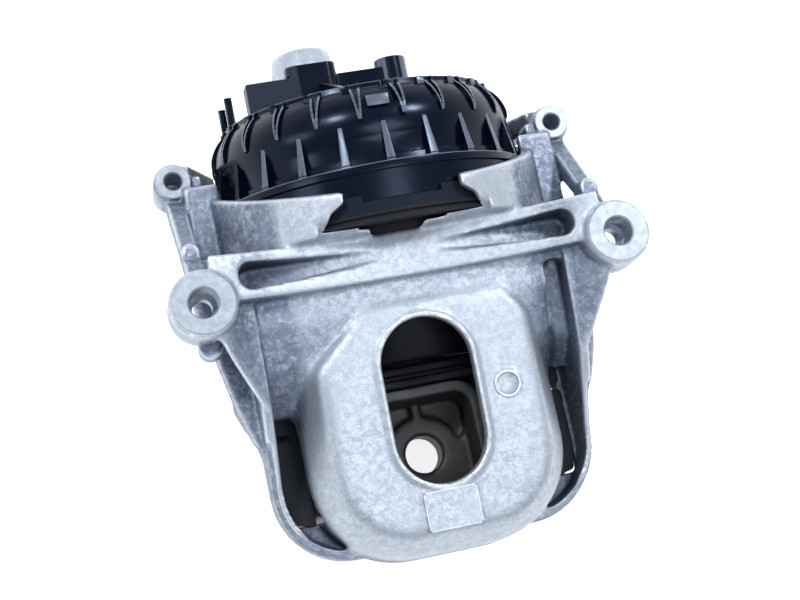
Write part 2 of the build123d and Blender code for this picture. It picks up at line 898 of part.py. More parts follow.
def make_housing():
    """The whole casting."""
    beam = beam_front(beam_bottom_y, beam_top_y, beam_rear_z, beam_half_length)
    body = collar() + beam + leg()
    shell = hood_walls() + recessed_plate() + bulge_body(0) + groove_wall()
    lip = extrude(tilt_bulge(window_outline(window_half_width + window_lip_width)), amount=window_lip_height)
    pad_place = Location((pad_x, (pad_top_y + pad_bottom_y) / 2, 0))
    pad_face = pad_place * Rectangle(pad_width, pad_top_y - pad_bottom_y)
    pad = extrude(tilt_bulge(pad_face), amount=pad_height)
    shell = shell + lip + pad
    shell = shell - bulge_body(bulge_wall)
    inside = extrude(rim_outline(wall_inner_x, rest_z - 5), amount=bulge_trim_z - rest_z + 5, dir=(0, 0, 1))
    trim_y = core_wing_bottom_y - bulge_trim_gap
    shell = shell - (inside & block(-reach, reach, trim_y, -1.0, rest_z - 9, bulge_trim_z))
    behind_plate = [
        (-1.0, plate_z - plate_thickness - spring_room),
        (plate_slope_y, plate_z - plate_thickness - spring_room),
        (bulge_trim_top_y, plate_z - plate_thickness - spring_room - behind_plate_drop),
        (bulge_trim_top_y, bulge_rear_z - 1),
        (-1.0, bulge_rear_z - 1),
    ]
    shell = shell - side_prism(behind_plate, -bulge_front_x, bulge_front_x)
    window = extrude(tilt_bulge(window_outline(window_half_width)), amount=20, both=True)
    stamp_face = tilt_bulge(Location((stamp_x, stamp_y, 0)) * Circle(stamp_r))
    stamp = extrude(stamp_face, amount=-stamp_depth, both=True)
    shell = shell - window - stamp - groove_room() + channel_floors()
    sides = main_eye() + small_eye() + gusset() + rear_flange() + strip_bar()
    body = body + shell + both_sides(sides)
    body = body + rod(-eye_half_spacing + 1, -lobe_drop_y, lobe_rear_z, lobe_front_z, lobe_r)
    body = body - both_sides(beam_pocket()) - chamber_room()
    return body - both_sides(main_bore() + small_bore())


def make_core():
    """Cast core: pocket and bolt bore in front, a socket behind, wings at the sides and a stem on top."""
    body = tray(
        -core_half_width, core_half_width, core_bottom_y, core_top_y, core_rear_z, core_front_z, core_round
    )
    wings = tray(
        -core_wing_x,
        core_wing_x,
        core_wing_bottom_y,
        core_wing_top_y,
        core_wing_rear_z,
        core_wing_front_z,
        core_wing_round,
    )
    stem = turned([(0, stem_root_s), (stem_root_r, stem_root_s), (stem_tip_r, stem_tip_s), (0, stem_tip_s)])
    body = body + wings + in_chamber(stem)
    inner_x = core_half_width - core_wall
    inner_top = core_top_y - core_wall
    inner_bottom = core_bottom_y + core_wall
    inner_round = core_round - core_wall
    pocket = tray(-inner_x, inner_x, inner_bottom, inner_top, core_floor_z, core_front_z + 1, inner_round)
    recess_floor_z = core_floor_z - core_recess_depth
    recess = tray(-inner_x, inner_x, core_bore_y + 3, inner_top, recess_floor_z, core_floor_z + 1, inner_round)
    recess = recess - rod(0, core_bore_y, recess_floor_z - 1, core_floor_z + 2, core_boss_r)
    neck_x = core_neck_width / 2
    recess = recess - block(-neck_x, neck_x, core_bore_y, core_top_y, recess_floor_z - 1, core_floor_z + 2)
    socket_x = core_socket_half_width
    socket_top_z = core_floor_z - core_web
    socket = tray(
        -socket_x, socket_x, inner_bottom, inner_top - 4, core_rear_z - 1, socket_top_z, inner_round
    )
    bore = rod(0, core_bore_y, core_rear_z, core_floor_z + 1, core_bore_r)
    mouth_r = core_bore_r + core_bore_chamfer
    mouth = cone(0, core_bore_y, core_floor_z - core_bore_chamfer, core_floor_z, core_bore_r, mouth_r)
    return body - pocket - recess - socket - bore - mouth


def make_rubber_spring(core):
    """Thick rubber cone between the core's stem and the spring ring."""
    stem_slope = (stem_root_r - stem_tip_r) / (stem_tip_s - stem_root_s)
    foot_r = stem_tip_r + stem_slope * (stem_tip_s - spring_rubber_foot_s) - 1
    cone_body = turned(
        [
            (0, stem_tip_s - 1),
            (stem_tip_r - 2, stem_tip_s - 1),
            (foot_r, spring_rubber_foot_s),
            (spring_rubber_foot_r, spring_rubber_foot_s),
            (spring_rubber_waist_r, spring_rubber_waist_s),
            (spring_bore_r, spring_rubber_low_s),
            (spring_bore_r, spring_rubber_top_s),
            (spring_bore_r - 8.0, spring_rubber_top_s - 3.0),
            (stem_tip_r + 1, stem_tip_s + spring_rubber_cover),
            (0, stem_tip_s + spring_rubber_cover),
        ]
    )
    return in_chamber(cone_body) - core


def make_spring_ring():
    """Metal ring bonded round the rubber cone, seated on the collar's inner floor."""
    ring = turned(
        [
            (spring_bore_r, spring_rubber_low_s),
            (spring_ring_r, spring_rubber_low_s),
            (spring_ring_r, neck_floor_s),
            (inner_neck_r, neck_floor_s),
            (inner_neck_r, spring_ring_top_s),
            (spring_bore_r, spring_ring_top_s),
        ]
    )
    return in_chamber(ring)


def make_seal_ring():
    """Rubber seal with two outer lips between casting and support ring."""
    lip = (lip_height - lip_groove) / 2
    ring = turned(
        [
            (seal_inner_r, spring_ring_top_s),
            (inner_neck_r, spring_ring_top_s),
            (inner_neck_r, collar_floor_s),
            (ring_outer_r, collar_floor_s),
            (ring_outer_r, collar_floor_s + lip),
            (ring_outer_r - lip_groove, collar_floor_s + lip),
            (ring_outer_r - lip_groove, seal_top_s - lip),
            (ring_outer_r, seal_top_s - lip),
            (ring_outer_r, seal_top_s),
            (seal_inner_r, seal_top_s),
        ]
    )
    return in_chamber(ring)


def make_support_ring():
    """Metal ring below the cap, with two raised ears at the cut-out."""
    ring = tube(ring_outer_r, support_ring_inner_r, seal_top_s, support_top_s)
    ear_top_s = support_top_s + support_ear_height
    ear = tube(ring_outer_r, ring_outer_r - support_ear_thickness, support_top_s - 1, ear_top_s)
    middle = (support_ear_start + support_ear_end) / 2
    half = math.radians((support_ear_end - support_ear_start) / 2)
    span = reach * math.tan(half)
    wedge = prism([(0, 0), (span, -reach), (-span, -reach)], support_top_s - 2, support_top_s + 9)
    for side in (-1, 1):
        ring = ring + (ear & (Rotation(0, 0, side * middle) * wedge))
    return in_chamber(ring)


def port_holes(s0, s1):
    """Ring of drilled ports, in the chamber's local frame."""
    drill = rod(port_ring_r, 0, s0, s1, port_r)
    cutter = drill
    for index in range(1, port_count):
        cutter = cutter + Rotation(0, 0, index * 360 / port_count) * drill
    return cutter


def make_inner_channel_plate():
    """Plate that faces the working chamber, with the lower half of the ring channel."""
    plate = rod(0, 0, seal_top_s, inner_plate_top_s, plate_r)
    channel_s = inner_plate_top_s - channel_depth
    half_width = channel_width / 2
    channel = tube(channel_r + half_width, channel_r - half_width, channel_s, inner_plate_top_s + 1)
    dam = block(-half_width, half_width, 0, reach, channel_s - 1, inner_plate_top_s + 2)
    plate = plate - (channel - dam)
    return in_chamber(plate - port_holes(seal_top_s - 1, inner_plate_top_s + 1))


def make_outer_channel_plate():
    """Plate that faces the bellows, stepped over the support ring and recessed for the membrane."""
    plate = turned(
        [
            (0, inner_plate_top_s),
            (plate_r, inner_plate_top_s),
            (plate_r, support_top_s),
            (stack_r, support_top_s),
            (stack_r, outer_plate_top_s),
            (0, outer_plate_top_s),
        ]
    )
    room = Location((0, 0, inner_plate_top_s + membrane_height / 2)) * Cylinder(
        membrane_r + fit_gap, membrane_height + 0.2
    )
    return in_chamber(plate - room - port_holes(inner_plate_top_s - 1, outer_plate_top_s + 1))


def make_membrane():
    """Rubber decoupler disc between the two channel plates."""
    disc = turned(
        [
            (0, inner_plate_top_s),
            (membrane_r, inner_plate_top_s),
            (membrane_r, inner_plate_top_s + membrane_height),
            (membrane_r - 3.0, inner_plate_top_s + membrane_height),
            (membrane_r - 4.0, inner_plate_top_s + membrane_height - 0.5),
            (0, inner_plate_top_s + membrane_height - 0.5),
        ]
    )
    return in_chamber(disc)


def make_bellows():
    """Rubber rolling bellows that closes the fluid chamber."""
    rim_r = stack_r - bellows_rim_width
    base = outer_plate_top_s
    top = base + bellows_rise
    wall = bellows_wall
    profile = turned(
        [
            (stack_r, base),
            (stack_r, bellows_edge_top_s),
            (rim_r, bellows_edge_top_s),
            (rim_r - 4.0, top),
            (31.0, top + 2.0),
            (22.0, top),
            (12.0, top - 3.0),
            (0, top - 3.0),
            (0, top - 3.0 - wall),
            (12.5, top - 3.0 - wall),
            (22.8, top - wall),
            (31.0, top + 2.0 - wall),
            (rim_r - 5.6, top - wall),
            (rim_r - 2.2, base),
        ]
    )
    return in_chamber(profile)


def make_clamp_ring():
    """Ring that clamps the bellows' edge against the outer channel plate."""
    return in_chamber(tube(stack_r, stack_r - bellows_rim_width + 0.8, bellows_edge_top_s, clamp_top_s))


def cap_shell():
    """Round wall of the cap with its skirt, flange, bulge and rim."""
    wall_start_s = flange_top_s + cap_step_height
    bore_r = skirt_bore_r - 2.0
    return turned(
        [
            (skirt_bore_r, skirt_bottom_s),
            (skirt_r, skirt_bottom_s),
            (skirt_r, flange_bottom_s),
            (flange_r, flange_bottom_s),
            (flange_r, flange_top_s),
            (cap_step_r, flange_top_s),
            (cap_step_r, wall_start_s),
            (cap_wall_r, wall_start_s),
            (cap_wall_r, cap_bulge_s - 6.5),
            (cap_bulge_r - 0.7, cap_bulge_s - 3.0),
            (cap_bulge_r, cap_bulge_s),
            (cap_bulge_r - 0.3, cap_bulge_s + 3.0),
            (cap_shoulder_r, cap_shoulder_s),
            (cap_shoulder_r - 1.6, cap_top_s - 1.0),
            (cap_rim_r + 1.0, cap_top_s),
            (cap_rim_r, cap_top_s),
            (cap_rim_r, cap_rim_s),
            (cap_rim_r - cap_rim_width, cap_rim_s),
            (cap_rim_r - cap_rim_width, cap_top_s),
            (0, cap_top_s),
            (0, cap_top_s - cap_wall),
            (cap_rim_r - 1.0, cap_top_s - cap_wall),
            (cap_shoulder_r - cap_wall - 1.0, cap_shoulder_s - 1.6),
            (cap_bulge_r - cap_wall, cap_bulge_s + 1.0),
            (cap_bulge_r - cap_wall, cap_bulge_s - 1.0),
            (cap_wall_r - cap_wall, cap_bulge_s - 7.0),
            (bore_r, cap_bulge_s - 9.0),
            (bore_r, clamp_top_s),
            (skirt_bore_r, clamp_top_s),
        ]
    )


def flange_rib(angle):
    """Triangular rib from the flange's edge up to the wall."""
    inner_r = cap_wall_r - rib_root
    tip_s = flange_top_s + rib_height
    points = [
        (inner_r, flange_top_s - 0.5),
        (flange_r, flange_top_s - 0.5),
        (flange_r, flange_top_s + 0.6),
        (cap_wall_r + 1.2, tip_s),
        (inner_r, tip_s),
    ]
    return radial_plate(points, angle, rib_thickness)


def shoulder_rib(angle, height):
    """Rib that starts on the bulge and curves over the shoulder to the rim."""
    foot_s = cap_bulge_s - shoulder_rib_reach
    points = [
        (cap_wall_r - rib_root, foot_s),
        (cap_bulge_r - 0.4, foot_s),
        (cap_bulge_r + height, cap_bulge_s),
        (cap_bulge_r + height - 0.3, cap_bulge_s + 3.0),
        (cap_shoulder_r + height, cap_shoulder_s + 0.6),
        (cap_shoulder_r - 1.6 + height * 0.6, cap_top_s + 0.4),
        (cap_rim_r, cap_rim_s),
        (cap_rim_r - 1.5, cap_rim_s),
        (cap_rim_r - 1.5, cap_top_s - 1.0),
        (cap_shoulder_r - 1.6, cap_shoulder_s - 1.0),
    ]
    return radial_plate(points, angle, rib_thickness)


def rim_notch(angle):
    """Small box beside a shoulder rib, on the rim."""
    lug = block(
        cap_rim_r - 0.8,
        cap_rim_r + 1.3,
        -notch_box_width / 2,
        notch_box_width / 2,
        cap_top_s - 0.6,
        cap_top_s + notch_box_height,
    )
    return Rotation(0, 0, angle - 90) * lug


def cap_top_walls():
    """Stub, low wall, fins and struts on the closed end of the cap."""
    base = cap_top_s - 0.5
    stub = rod(stub_x, stub_y, base, stub_top_s, stub_r)
    hole = rod(stub_x, stub_y, stub_top_s - stub_hole_depth, stub_top_s + 1, stub_hole_r)
    wall_y = connector_front_y + low_wall_setback
    low_wall = block(
        connector_side_x + fit_gap,
        stub_x - stub_hole_r,
        wall_y,
        wall_y + low_wall_thickness,
        base,
        cap_top_s + low_wall_height,
    )
    lug_top_s = cap_top_s + lug_height
    lugs = block(left_lug_x, left_lug_x + lug_width, wall_y - 3.0, wall_y + 1.0, base, lug_top_s)
    lugs += block(right_lug_x, right_lug_x + lug_width, wall_y - 3.0, wall_y + 1.0, base, lug_top_s)
    foot_x = stub_x + stub_r - 1.0
    strut_end_x = cap_rim_r - 2.0
    strut_points = [(foot_x, base), (strut_end_x, base), (strut_end_x, cap_rim_s), (foot_x, stub_top_s - 9.0)]
    strut = strut_plate(strut_points, stub_y - 0.8, stub_y + 0.8)
    fins = block(fin_x, fin_x + fin_width, 4.0, 4.0 + fin_thickness, base, cap_top_s + fin_low_height)
    fin_middle_x = fin_x + fin_width
    fin_top_s = cap_top_s + fin_height
    fins += block(fin_middle_x - 0.2, fin_middle_x + fin_width, 0.0, fin_thickness, base, fin_top_s)
    brace_points = [(-cap_rim_r + 2.0, base), (connector_front_y - fit_gap, base)]
    brace_points += [(connector_front_y - fit_gap, cap_top_s + connector_side_height - 8.0)]
    brace = side_prism(brace_points, brace_x - rib_thickness / 2, brace_x + rib_thickness / 2)
    return (stub - hole) + low_wall + lugs + strut + fins + brace


def strut_plate(points, y0, y1):
    """Upright plate of (x, s) points between two depths, in the chamber's local frame."""
    face = make_face(Polyline(*[(x, y0, s) for x, s in points], close=True))
    return extrude(face, amount=y1 - y0, dir=(0, 1, 0))


def make_cap():
    """Plastic cap: one moulding with ribs, rim and the walls round the connector."""
    cap = cap_shell()
    pitch = 360 / rib_count
    for index in range(rib_count):
        cap = cap + flange_rib(rib_turn + index * pitch)
    for index in range(rib_count):
        angle = rib_turn + (index + 0.5) * pitch
        height = bracket_rib_height if index in (0, rib_count - 1) else shoulder_rib_height
        cap = cap + shoulder_rib(angle, height) + rim_notch(angle - 3.2)
    cross = block(-0.5, 1.1, -7.2, 5.4, cap_bulge_s + 3.0, cap_bulge_s + 6.0)
    bridge_plate = Rotation(0, 0, rib_turn - 90) * (Location((cap_bulge_r - 0.6, 0, 0)) * cross)
    return in_chamber(cap + bridge_plate + cap_top_walls())


def make_actuator():
    """Sealed solenoid unit inside the cap, above the bellows."""
    top = cap_top_s - cap_wall - actuator_seal
    can = rod(0, 0, top - actuator_height, top, actuator_r)
    pin = rod(0, 0, top - actuator_height - actuator_pin_length, top - actuator_height + 1, actuator_pin_r)
    return in_chamber(can + pin)


def make_actuator_seal():
    """Flat seal between the actuator and the cap."""
    top = cap_top_s - cap_wall
    return in_chamber(tube(actuator_r - 2.0, actuator_r - 6.0, top - actuator_seal, top))


def terminal(index):
    """Flat contact pin in the connector's socket."""
    middle_x = (connector_x0 + connector_x1) / 2 + (index - 0.5) * terminal_pitch
    middle_y = (connector_front_y + connector_rear_y) / 2
    return block(
        middle_x - terminal_width / 2,
        middle_x + terminal_width / 2,
        middle_y - terminal_thickness / 2,
        middle_y + terminal_thickness / 2,
        cap_top_s + 1.0,
        cap_top_s + connector_floor + terminal_height,
    )


def make_connector():
    """Plug housing on the cap: an open socket and a closed block beside it."""
    top_s = cap_top_s + connector_height
    socket = tray(
        connector_x0, connector_x1 + 1, connector_front_y, connector_rear_y, cap_top_s, top_s, 1.0
    )
    cavity = block(
        connector_x0 + connector_wall,
        connector_x1 - connector_wall,
        connector_front_y + connector_wall,
        connector_rear_y - connector_wall,
        cap_top_s + connector_floor,
        top_s + 1,
    )
    side = tray(
        connector_x1 - 4,
        connector_side_x,
        connector_front_y,
        connector_rear_y,
        cap_top_s,
        cap_top_s + connector_side_height,
        connector_side_round,
    )
    body = socket + side - cavity
    for index in range(2):
        body = body - terminal(index)
    return in_chamber(body)


def make_side_buffer():
    """Rubber buffer on the right wing of the core: two lugs on a common base."""
    outer_x = core_wing_x + buffer_thickness
    foot_x = core_wing_x + buffer_thickness / 3
    y0, y1 = buffer_bottom_y, buffer_top_y
    foot = block(core_wing_x, foot_x, y0, y1, buffer_rear_z, buffer_front_z)
    low_y1 = buffer_groove_y - buffer_groove / 2
    high_y0 = buffer_groove_y + buffer_groove / 2
    low_lug = block(core_wing_x, outer_x, y0, low_y1, buffer_rear_z, buffer_front_z)
    high_lug = block(core_wing_x, outer_x, high_y0, y1, buffer_rear_z, buffer_front_z)
    lugs = fillet((low_lug + high_lug).edges().filter_by(Axis.Z).group_by(Axis.X)[-1], buffer_round / 2)
    return foot + lugs


def make_snubber(core):
    """Rubber pad with folds on top of the core, round the stem."""
    pitch = snubber_height / snubber_folds
    x = snubber_half_width
    pad = block(
        -x + snubber_fold,
        x - snubber_fold,
        core_top_y,
        core_top_y + snubber_height,
        snubber_rear_z + snubber_fold,
        snubber_front_z - snubber_fold,
    )
    for index in range(snubber_folds):
        y0 = core_top_y + index * pitch
        pad = pad + block(-x, x, y0 + pitch * 0.15, y0 + pitch * 0.75, snubber_rear_z, snubber_front_z)
    return pad - core


housing = make_housing()
core = make_core()
right_buffer = make_side_buffer()
parts = {
    "housing": housing,
    "core": core,
    "rubber_spring": make_rubber_spring(core),
    "snubber": make_snubber(core),
    "side_buffer_right": right_buffer,
    "side_buffer_left": mirror(right_buffer, about=Plane.YZ),
    "spring_ring": make_spring_ring(),
    "seal_ring": make_seal_ring(),
    "support_ring": make_support_ring(),
    "inner_channel_plate": make_inner_channel_plate(),
    "outer_channel_plate": make_outer_channel_plate(),
    "decoupler_membrane": make_membrane(),
    "bellows": make_bellows(),
    "clamp_ring": make_clamp_ring(),
    "chamber_cap": make_cap(),
    "actuator": make_actuator(),
    "actuator_seal": make_actuator_seal(),
    "connector_housing": make_connector(),
    "terminal_1": in_chamber(terminal(0)),
    "terminal_2": in_chamber(terminal(1)),
}
for name, shape in parts.items():
    export_step(shape, f"parts/{name}.step")
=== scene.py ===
"""Look of the hydraulic engine mount: cast housing, sprung core and ribbed cap, on white."""

import math

import bmesh
import bpy
import numpy as np
from mathutils import Matrix, Vector


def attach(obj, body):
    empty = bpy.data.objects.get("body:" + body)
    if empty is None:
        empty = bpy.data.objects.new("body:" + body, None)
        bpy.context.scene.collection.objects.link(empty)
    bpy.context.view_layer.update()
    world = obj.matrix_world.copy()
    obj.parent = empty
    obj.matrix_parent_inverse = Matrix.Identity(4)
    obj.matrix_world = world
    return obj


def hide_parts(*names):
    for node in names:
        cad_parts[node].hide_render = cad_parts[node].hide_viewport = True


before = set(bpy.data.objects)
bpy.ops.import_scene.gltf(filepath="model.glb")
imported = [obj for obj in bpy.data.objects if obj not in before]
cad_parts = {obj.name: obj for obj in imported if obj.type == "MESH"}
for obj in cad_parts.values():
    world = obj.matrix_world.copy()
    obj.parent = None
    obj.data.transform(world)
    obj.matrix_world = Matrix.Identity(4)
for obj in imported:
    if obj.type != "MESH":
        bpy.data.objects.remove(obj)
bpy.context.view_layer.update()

MM = 0.001
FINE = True

CASTING_VOXEL = 0.62 if FINE else 1.4
CASTING_STEPS = 7 if FINE else 3
CASTING_TRIANGLES = 170000 if FINE else 90000
BULGE_STEPS = 70 if FINE else 12
CAP_SEGMENTS = 368 if FINE else 184
VOXEL_FACTOR = 1 if FINE else 1.8

# Eyes of the housing, in millimetres
EYE_X = 72.0
EYE_R = 11.5
EYE_FACE_R = 10.6
EYE_DEPTH = 16.0
EYE_BORE_R = 5.0
EYE_THREAD_R = 3.5
EYE_BORE_DEPTH = 10.0
SMALL_X = 71.1
SMALL_Y = 53.7
SMALL_Z = -40.4
SMALL_R = 7.0
SMALL_FACE_R = 6.2
SMALL_DEPTH = 19.0
SMALL_BORE_R = 3.1
SMALL_BORE_DEPTH = 15.0
BORE_CHAMFER = 0.5
EYE_SEGMENTS = 128
EDGE_GUARD = 0.45

# Turned outlines of the eyes and their bores, (radius, height) from the face
EYE_BODY = [
    (0, -EYE_DEPTH),
    (EYE_R, -EYE_DEPTH),
    (EYE_R, -1.9),
    (EYE_R - 0.25, -1.5),
    (EYE_FACE_R + 0.15, -0.35),
    (EYE_FACE_R - 0.25, 0.0),
    (0, 0.0),
]
EYE_BORE = [
    (0, -EYE_DEPTH - 1),
    (EYE_THREAD_R, -EYE_DEPTH - 1),
    (EYE_THREAD_R, -EYE_BORE_DEPTH - 1.2),
    (EYE_BORE_R, -EYE_BORE_DEPTH),
    (EYE_BORE_R, -BORE_CHAMFER),
    (EYE_BORE_R + BORE_CHAMFER, 0.0),
    (EYE_BORE_R + BORE_CHAMFER, 1.0),
    (0, 1.0),
]
SMALL_BODY = [
    (0, -SMALL_DEPTH),
    (SMALL_R, -SMALL_DEPTH),
    (SMALL_R, -3.2),
    (SMALL_R - 0.25, -2.8),
    (SMALL_FACE_R + 0.15, -0.3),
    (SMALL_FACE_R - 0.2, 0.0),
    (0, 0.0),
]
SMALL_HOLE = [
    (0, -SMALL_BORE_DEPTH - 1.8),
    (SMALL_BORE_R, -SMALL_BORE_DEPTH),
    (SMALL_BORE_R, -BORE_CHAMFER),
    (SMALL_BORE_R + BORE_CHAMFER, 0.0),
    (SMALL_BORE_R + BORE_CHAMFER, 1.0),
    (0, 1.0),
]

# Slanted face of the hood, with its window, pad and stamp seat
FACE_TILT = math.radians(6.8)
FACE_PIVOT_Y = -45.0
FACE_Z = -16.8
WINDOW_X = -0.5
WINDOW_Y = -43.3
WINDOW_HALF_WIDTH = 15.9
WINDOW_HALF_LENGTH = 28.6
WINDOW_STEPS = 48
PAD_X = -1.1
PAD_Y = -80.3
PAD_HALF_WIDTH = 9.4
PAD_HALF_LENGTH = 6.7
PAD_CORNER_R = 0.8
PAD_HEIGHT = 1.05
STAMP_X = 26.0
STAMP_Y = -42.6
STAMP_SEGMENTS = 64

# Chamber and cap: radii from the chamber's axis and heights (s) along it
CHAMBER_Z = -56.5
CHAMBER_LEAN = math.radians(5.3)
SKIRT_R = 56.0
SKIRT_BORE_R = 53.0
SKIRT_S = 29.5
FLANGE_R = 57.2
FLANGE_S = 39.2
FLANGE_TOP_S = 42.0
CAP_BORE_R = 51.0
CAP_BORE_S = 36.9
CAP_WALL_R = 53.6
BULGE_START_S = 45.0
BULGE_SLOPE = 0.035
BULGE_ARC_R = 15.5
BULGE_ARC_S = 57.0
BULGE_CENTRE_R = 39.5
RIM_R = 49.0
RIM_S = 71.2
RIM_WIDTH = 2.4
CAP_END_S = 69.4
CAP_END_INNER_S = 66.8
RIBS = 23
RIB_TURN = -1.5
RIB_PITCH = 360 / RIBS
RIB_THICKNESS = 1.5
RIB_TOP_S = 56.4
RIB_SLANT = 0.05
SHOULDER_RIB_THICKNESS = 0.8
SHOULDER_RIB_SLANT = 0.11
SHOULDER_RIB_RISE = 1.3
BRACKET_RIB_RISE = 2.2
SHOULDER_FOOT_S = 55.6
LUG_OFFSET = 3.4

# Pieces on the cap's closed end
END_BASE_S = 68.0
STUB_X = 19.0
STUB_Y = 7.5
STUB_R = 6.0
STUB_TOP_S = 92.0
STUB_BORE_R = 3.6
STUB_BORE_S = 78.0
STUB_SEGMENTS = 96
STUB_BORE_SEGMENTS = 64

# Where the connector's two plastics meet, and how far the side buffers bulge
CONNECTOR_SPLIT_X = -17.8
BUFFER_SWELL = 1.2

# Linear colours
BLACK = (0, 0, 0)
WHITE = (1, 1, 1)
CAST_GREY = (0.255, 0.305, 0.39)
# Paler casting tone for the lit front faces: painted light
CAST_LIT_PALE = (0.57, 0.63, 0.70)
# Dark smudges on the casting, also used for the painted shade in creases
CAST_SMUDGE_AND_CREASE_SHADE = (0.10, 0.13, 0.19)
CAST_LIGHT_MARK = (0.60, 0.66, 0.73)
# Painted shade in the casting's recesses
CAST_RECESS_SHADE = (0.035, 0.045, 0.07)
# Painted highlight on the casting's edges
CAST_EDGE_HIGHLIGHT = (0.80, 0.84, 0.90)
MACHINED_DARK = (0.38, 0.43, 0.49)
MACHINED_LIGHT = (0.53, 0.58, 0.65)
CORE_DARK = (0.055, 0.054, 0.055)
CORE_LIGHT = (0.11, 0.108, 0.11)
# Painted highlight on the core's edges
CORE_EDGE_HIGHLIGHT = (0.20, 0.205, 0.22)
PLASTIC_SHEEN = (0.55, 0.72, 1.0)
CEILING = (0.36, 0.41, 0.50)
FLOOR_GREY = (0.9, 0.9, 0.9)

# Light of the world: its level, its level in reflections, and where the ceiling fades in
LIGHT_LEVEL = 0.5
SEEN_LEVEL = 1.0
CEILING_START = 0.20
CEILING_END = 0.55

# Floor, in millimetres, and its glow where it is seen
FLOOR_Z = -126.0
FLOOR_HALF = 3000.0
FLOOR_GLOW = 0.75

# Area lamps: name, place, aim and size in metres, power in watts
LAMPS = [
    ("key_right", (0.48, 0.36, 0.70), (0, 0.02, -0.03), (0.12, 0.12), 3.0),
    ("key_left", (-0.36, 0.44, 0.72), (0, 0.02, -0.03), (0.12, 0.12), 2.7),
    ("front", (0.16, -0.22, 0.92), (0, -0.02, -0.05), (0.45, 0.45), 2.3),
    ("rim_left", (-0.76, 0.10, 0.50), (0, 0, -0.05), (0.20, 0.30), 0.8),
]

# Camera, from the perspective of the photograph; places in millimetres
CAMERA_PLACE = (-115.1, -106.7, 512.7)
CAMERA_AIM = (-4.0, -6.8, -20.0)
CAMERA_ROLL = -12.27
CAMERA_LENS = 72.2

# Turns of a flat drawing: upright in its own plane, and upright along the depth
UPRIGHT = Matrix(((1, 0, 0, 0), (0, 0, -1, 0), (0, 1, 0, 0), (0, 0, 0, 1)))
LENGTHWISE = Matrix(((0, 0, 1, 0), (1, 0, 0, 0), (0, 1, 0, 0), (0, 0, 0, 1)))

scene = bpy.context.scene
scene.view_settings.view_transform = "Standard"


def chamber_matrix():
    """Chamber frame (x, away from the viewer, along the axis) to the part's frame."""
    lean_cos = math.cos(CHAMBER_LEAN)
    lean_sin = math.sin(CHAMBER_LEAN)
    return Matrix(
        (
            (1, 0, 0, 0),
            (0, lean_sin, lean_cos, 0),
            (0, -lean_cos, lean_sin, CHAMBER_Z),
            (0, 0, 0, 1),
        )
    )


def turned_chamber(angle):
    """Chamber frame whose x axis points at an angle, in degrees, from the front."""
    return chamber_matrix() @ Matrix.Rotation(math.radians(angle - 90), 4, "Z")


def stub_matrix():
    """Chamber frame on the axis of the cap's stub."""
    return chamber_matrix() @ Matrix.Translation((STUB_X, STUB_Y, 0))


def link_object(name, data):
    """New object of the scene that shows some data."""
    obj = bpy.data.objects.new(name, data)
    scene.collection.objects.link(obj)
    return obj


def mesh_object(name, bm):
    """New object from a bmesh in metres, which is used up."""
    mesh = bpy.data.meshes.new(name)
    bm.to_mesh(mesh)
    bm.free()
    return link_object(name, mesh)


def from_bmesh(name, bm, matrix):
    """New object from a bmesh in millimetres, moved by a matrix in millimetres."""
    bm.transform(matrix)
    bm.transform(Matrix.Scale(MM, 4))
    bmesh.ops.recalc_face_normals(bm, faces=bm.faces)
    return mesh_object(name, bm)


def copy_of(node, name):
    """New object with a welded copy of a node's mesh."""
    obj = link_object(name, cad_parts[node].data.copy())
    obj.data.materials.clear()
    bm = bmesh.new()
    bm.from_mesh(obj.data)
    bmesh.ops.remove_doubles(bm, verts=bm.verts, dist=1e-6)
    bm.to_mesh(obj.data)
    bm.free()
    return obj


def apply_modifier(obj, kind, **settings):
    """Adds one modifier and applies it to the mesh."""
    modifier = obj.modifiers.new(kind, kind)
    for key, value in settings.items():
        setattr(modifier, key, value)
    graph = bpy.context.evaluated_depsgraph_get()
    mesh = bpy.data.meshes.new_from_object(obj.evaluated_get(graph))
    obj.modifiers.clear()
    old = obj.data
    obj.data = mesh
    bpy.data.meshes.remove(old)


def remove(obj):
    """Deletes a helper object."""
    mesh = obj.data
    bpy.data.objects.remove(obj)
    bpy.data.meshes.remove(mesh)


def combine(obj, other, operation):
    """Boolean of two closed meshes; the second one is used up."""
    apply_modifier(obj, "BOOLEAN", object=other, operation=operation, solver="MANIFOLD")
    remove(other)


def join(objects, name):
    """One object out of several closed meshes."""
    bm = bmesh.new()
    for obj in objects:
        bm.from_mesh(obj.data)
        remove(obj)
    return mesh_object(name, bm)


def lathe(name, profile, matrix, segments):
    """Closed turned body from (radius, height) points; points at radius 0 close the ends."""
    bm = bmesh.new()
    rings = []
    for radius, height in profile:
        if radius < 1e-6:
            rings.append([bm.verts.new((0, 0, height))])
            continue
        ring = []
        for index in range(segments):
            angle = 2 * math.pi * index / segments
            place = (radius * math.cos(angle), radius * math.sin(angle), height)
            ring.append(bm.verts.new(place))
        rings.append(ring)
    pairs = list(zip(rings, rings[1:]))
    if len(rings[0]) > 1:
        pairs.append((rings[-1], rings[0]))
    for low, high in pairs:
        for index in range(segments):
            after = (index + 1) % segments
            corners = [low[index % len(low)], low[after % len(low)]]
            corners += [high[after % len(high)], high[index % len(high)]]
            unique = list(dict.fromkeys(corners))
            if len(unique) > 2:
                bm.faces.new(unique)
    return from_bmesh(name, bm, matrix)


def rounded(points, steps):
    """Outline of (a, b, radius) points with its corners rounded."""
    result = []
    count = len(points)
    for index, (a, b, radius) in enumerate(points):
        here = Vector((a, b))
        before = Vector(points[index - 1][:2])
        after = Vector(points[(index + 1) % count][:2])
        if radius <= 0:
            result.append(tuple(here))
            continue
        back = (before - here).normalized()
        on = (after - here).normalized()
        half = back.angle(on) / 2
        room = (before - here).length * 0.49, (after - here).length * 0.49
        cut = min(radius / math.tan(half), *room)
        start = here + back * cut
        end = here + on * cut
        for step in range(steps + 1):
            t = step / steps
            result.append(tuple(start.lerp(here, t).lerp(here.lerp(end, t), t)))
    return result


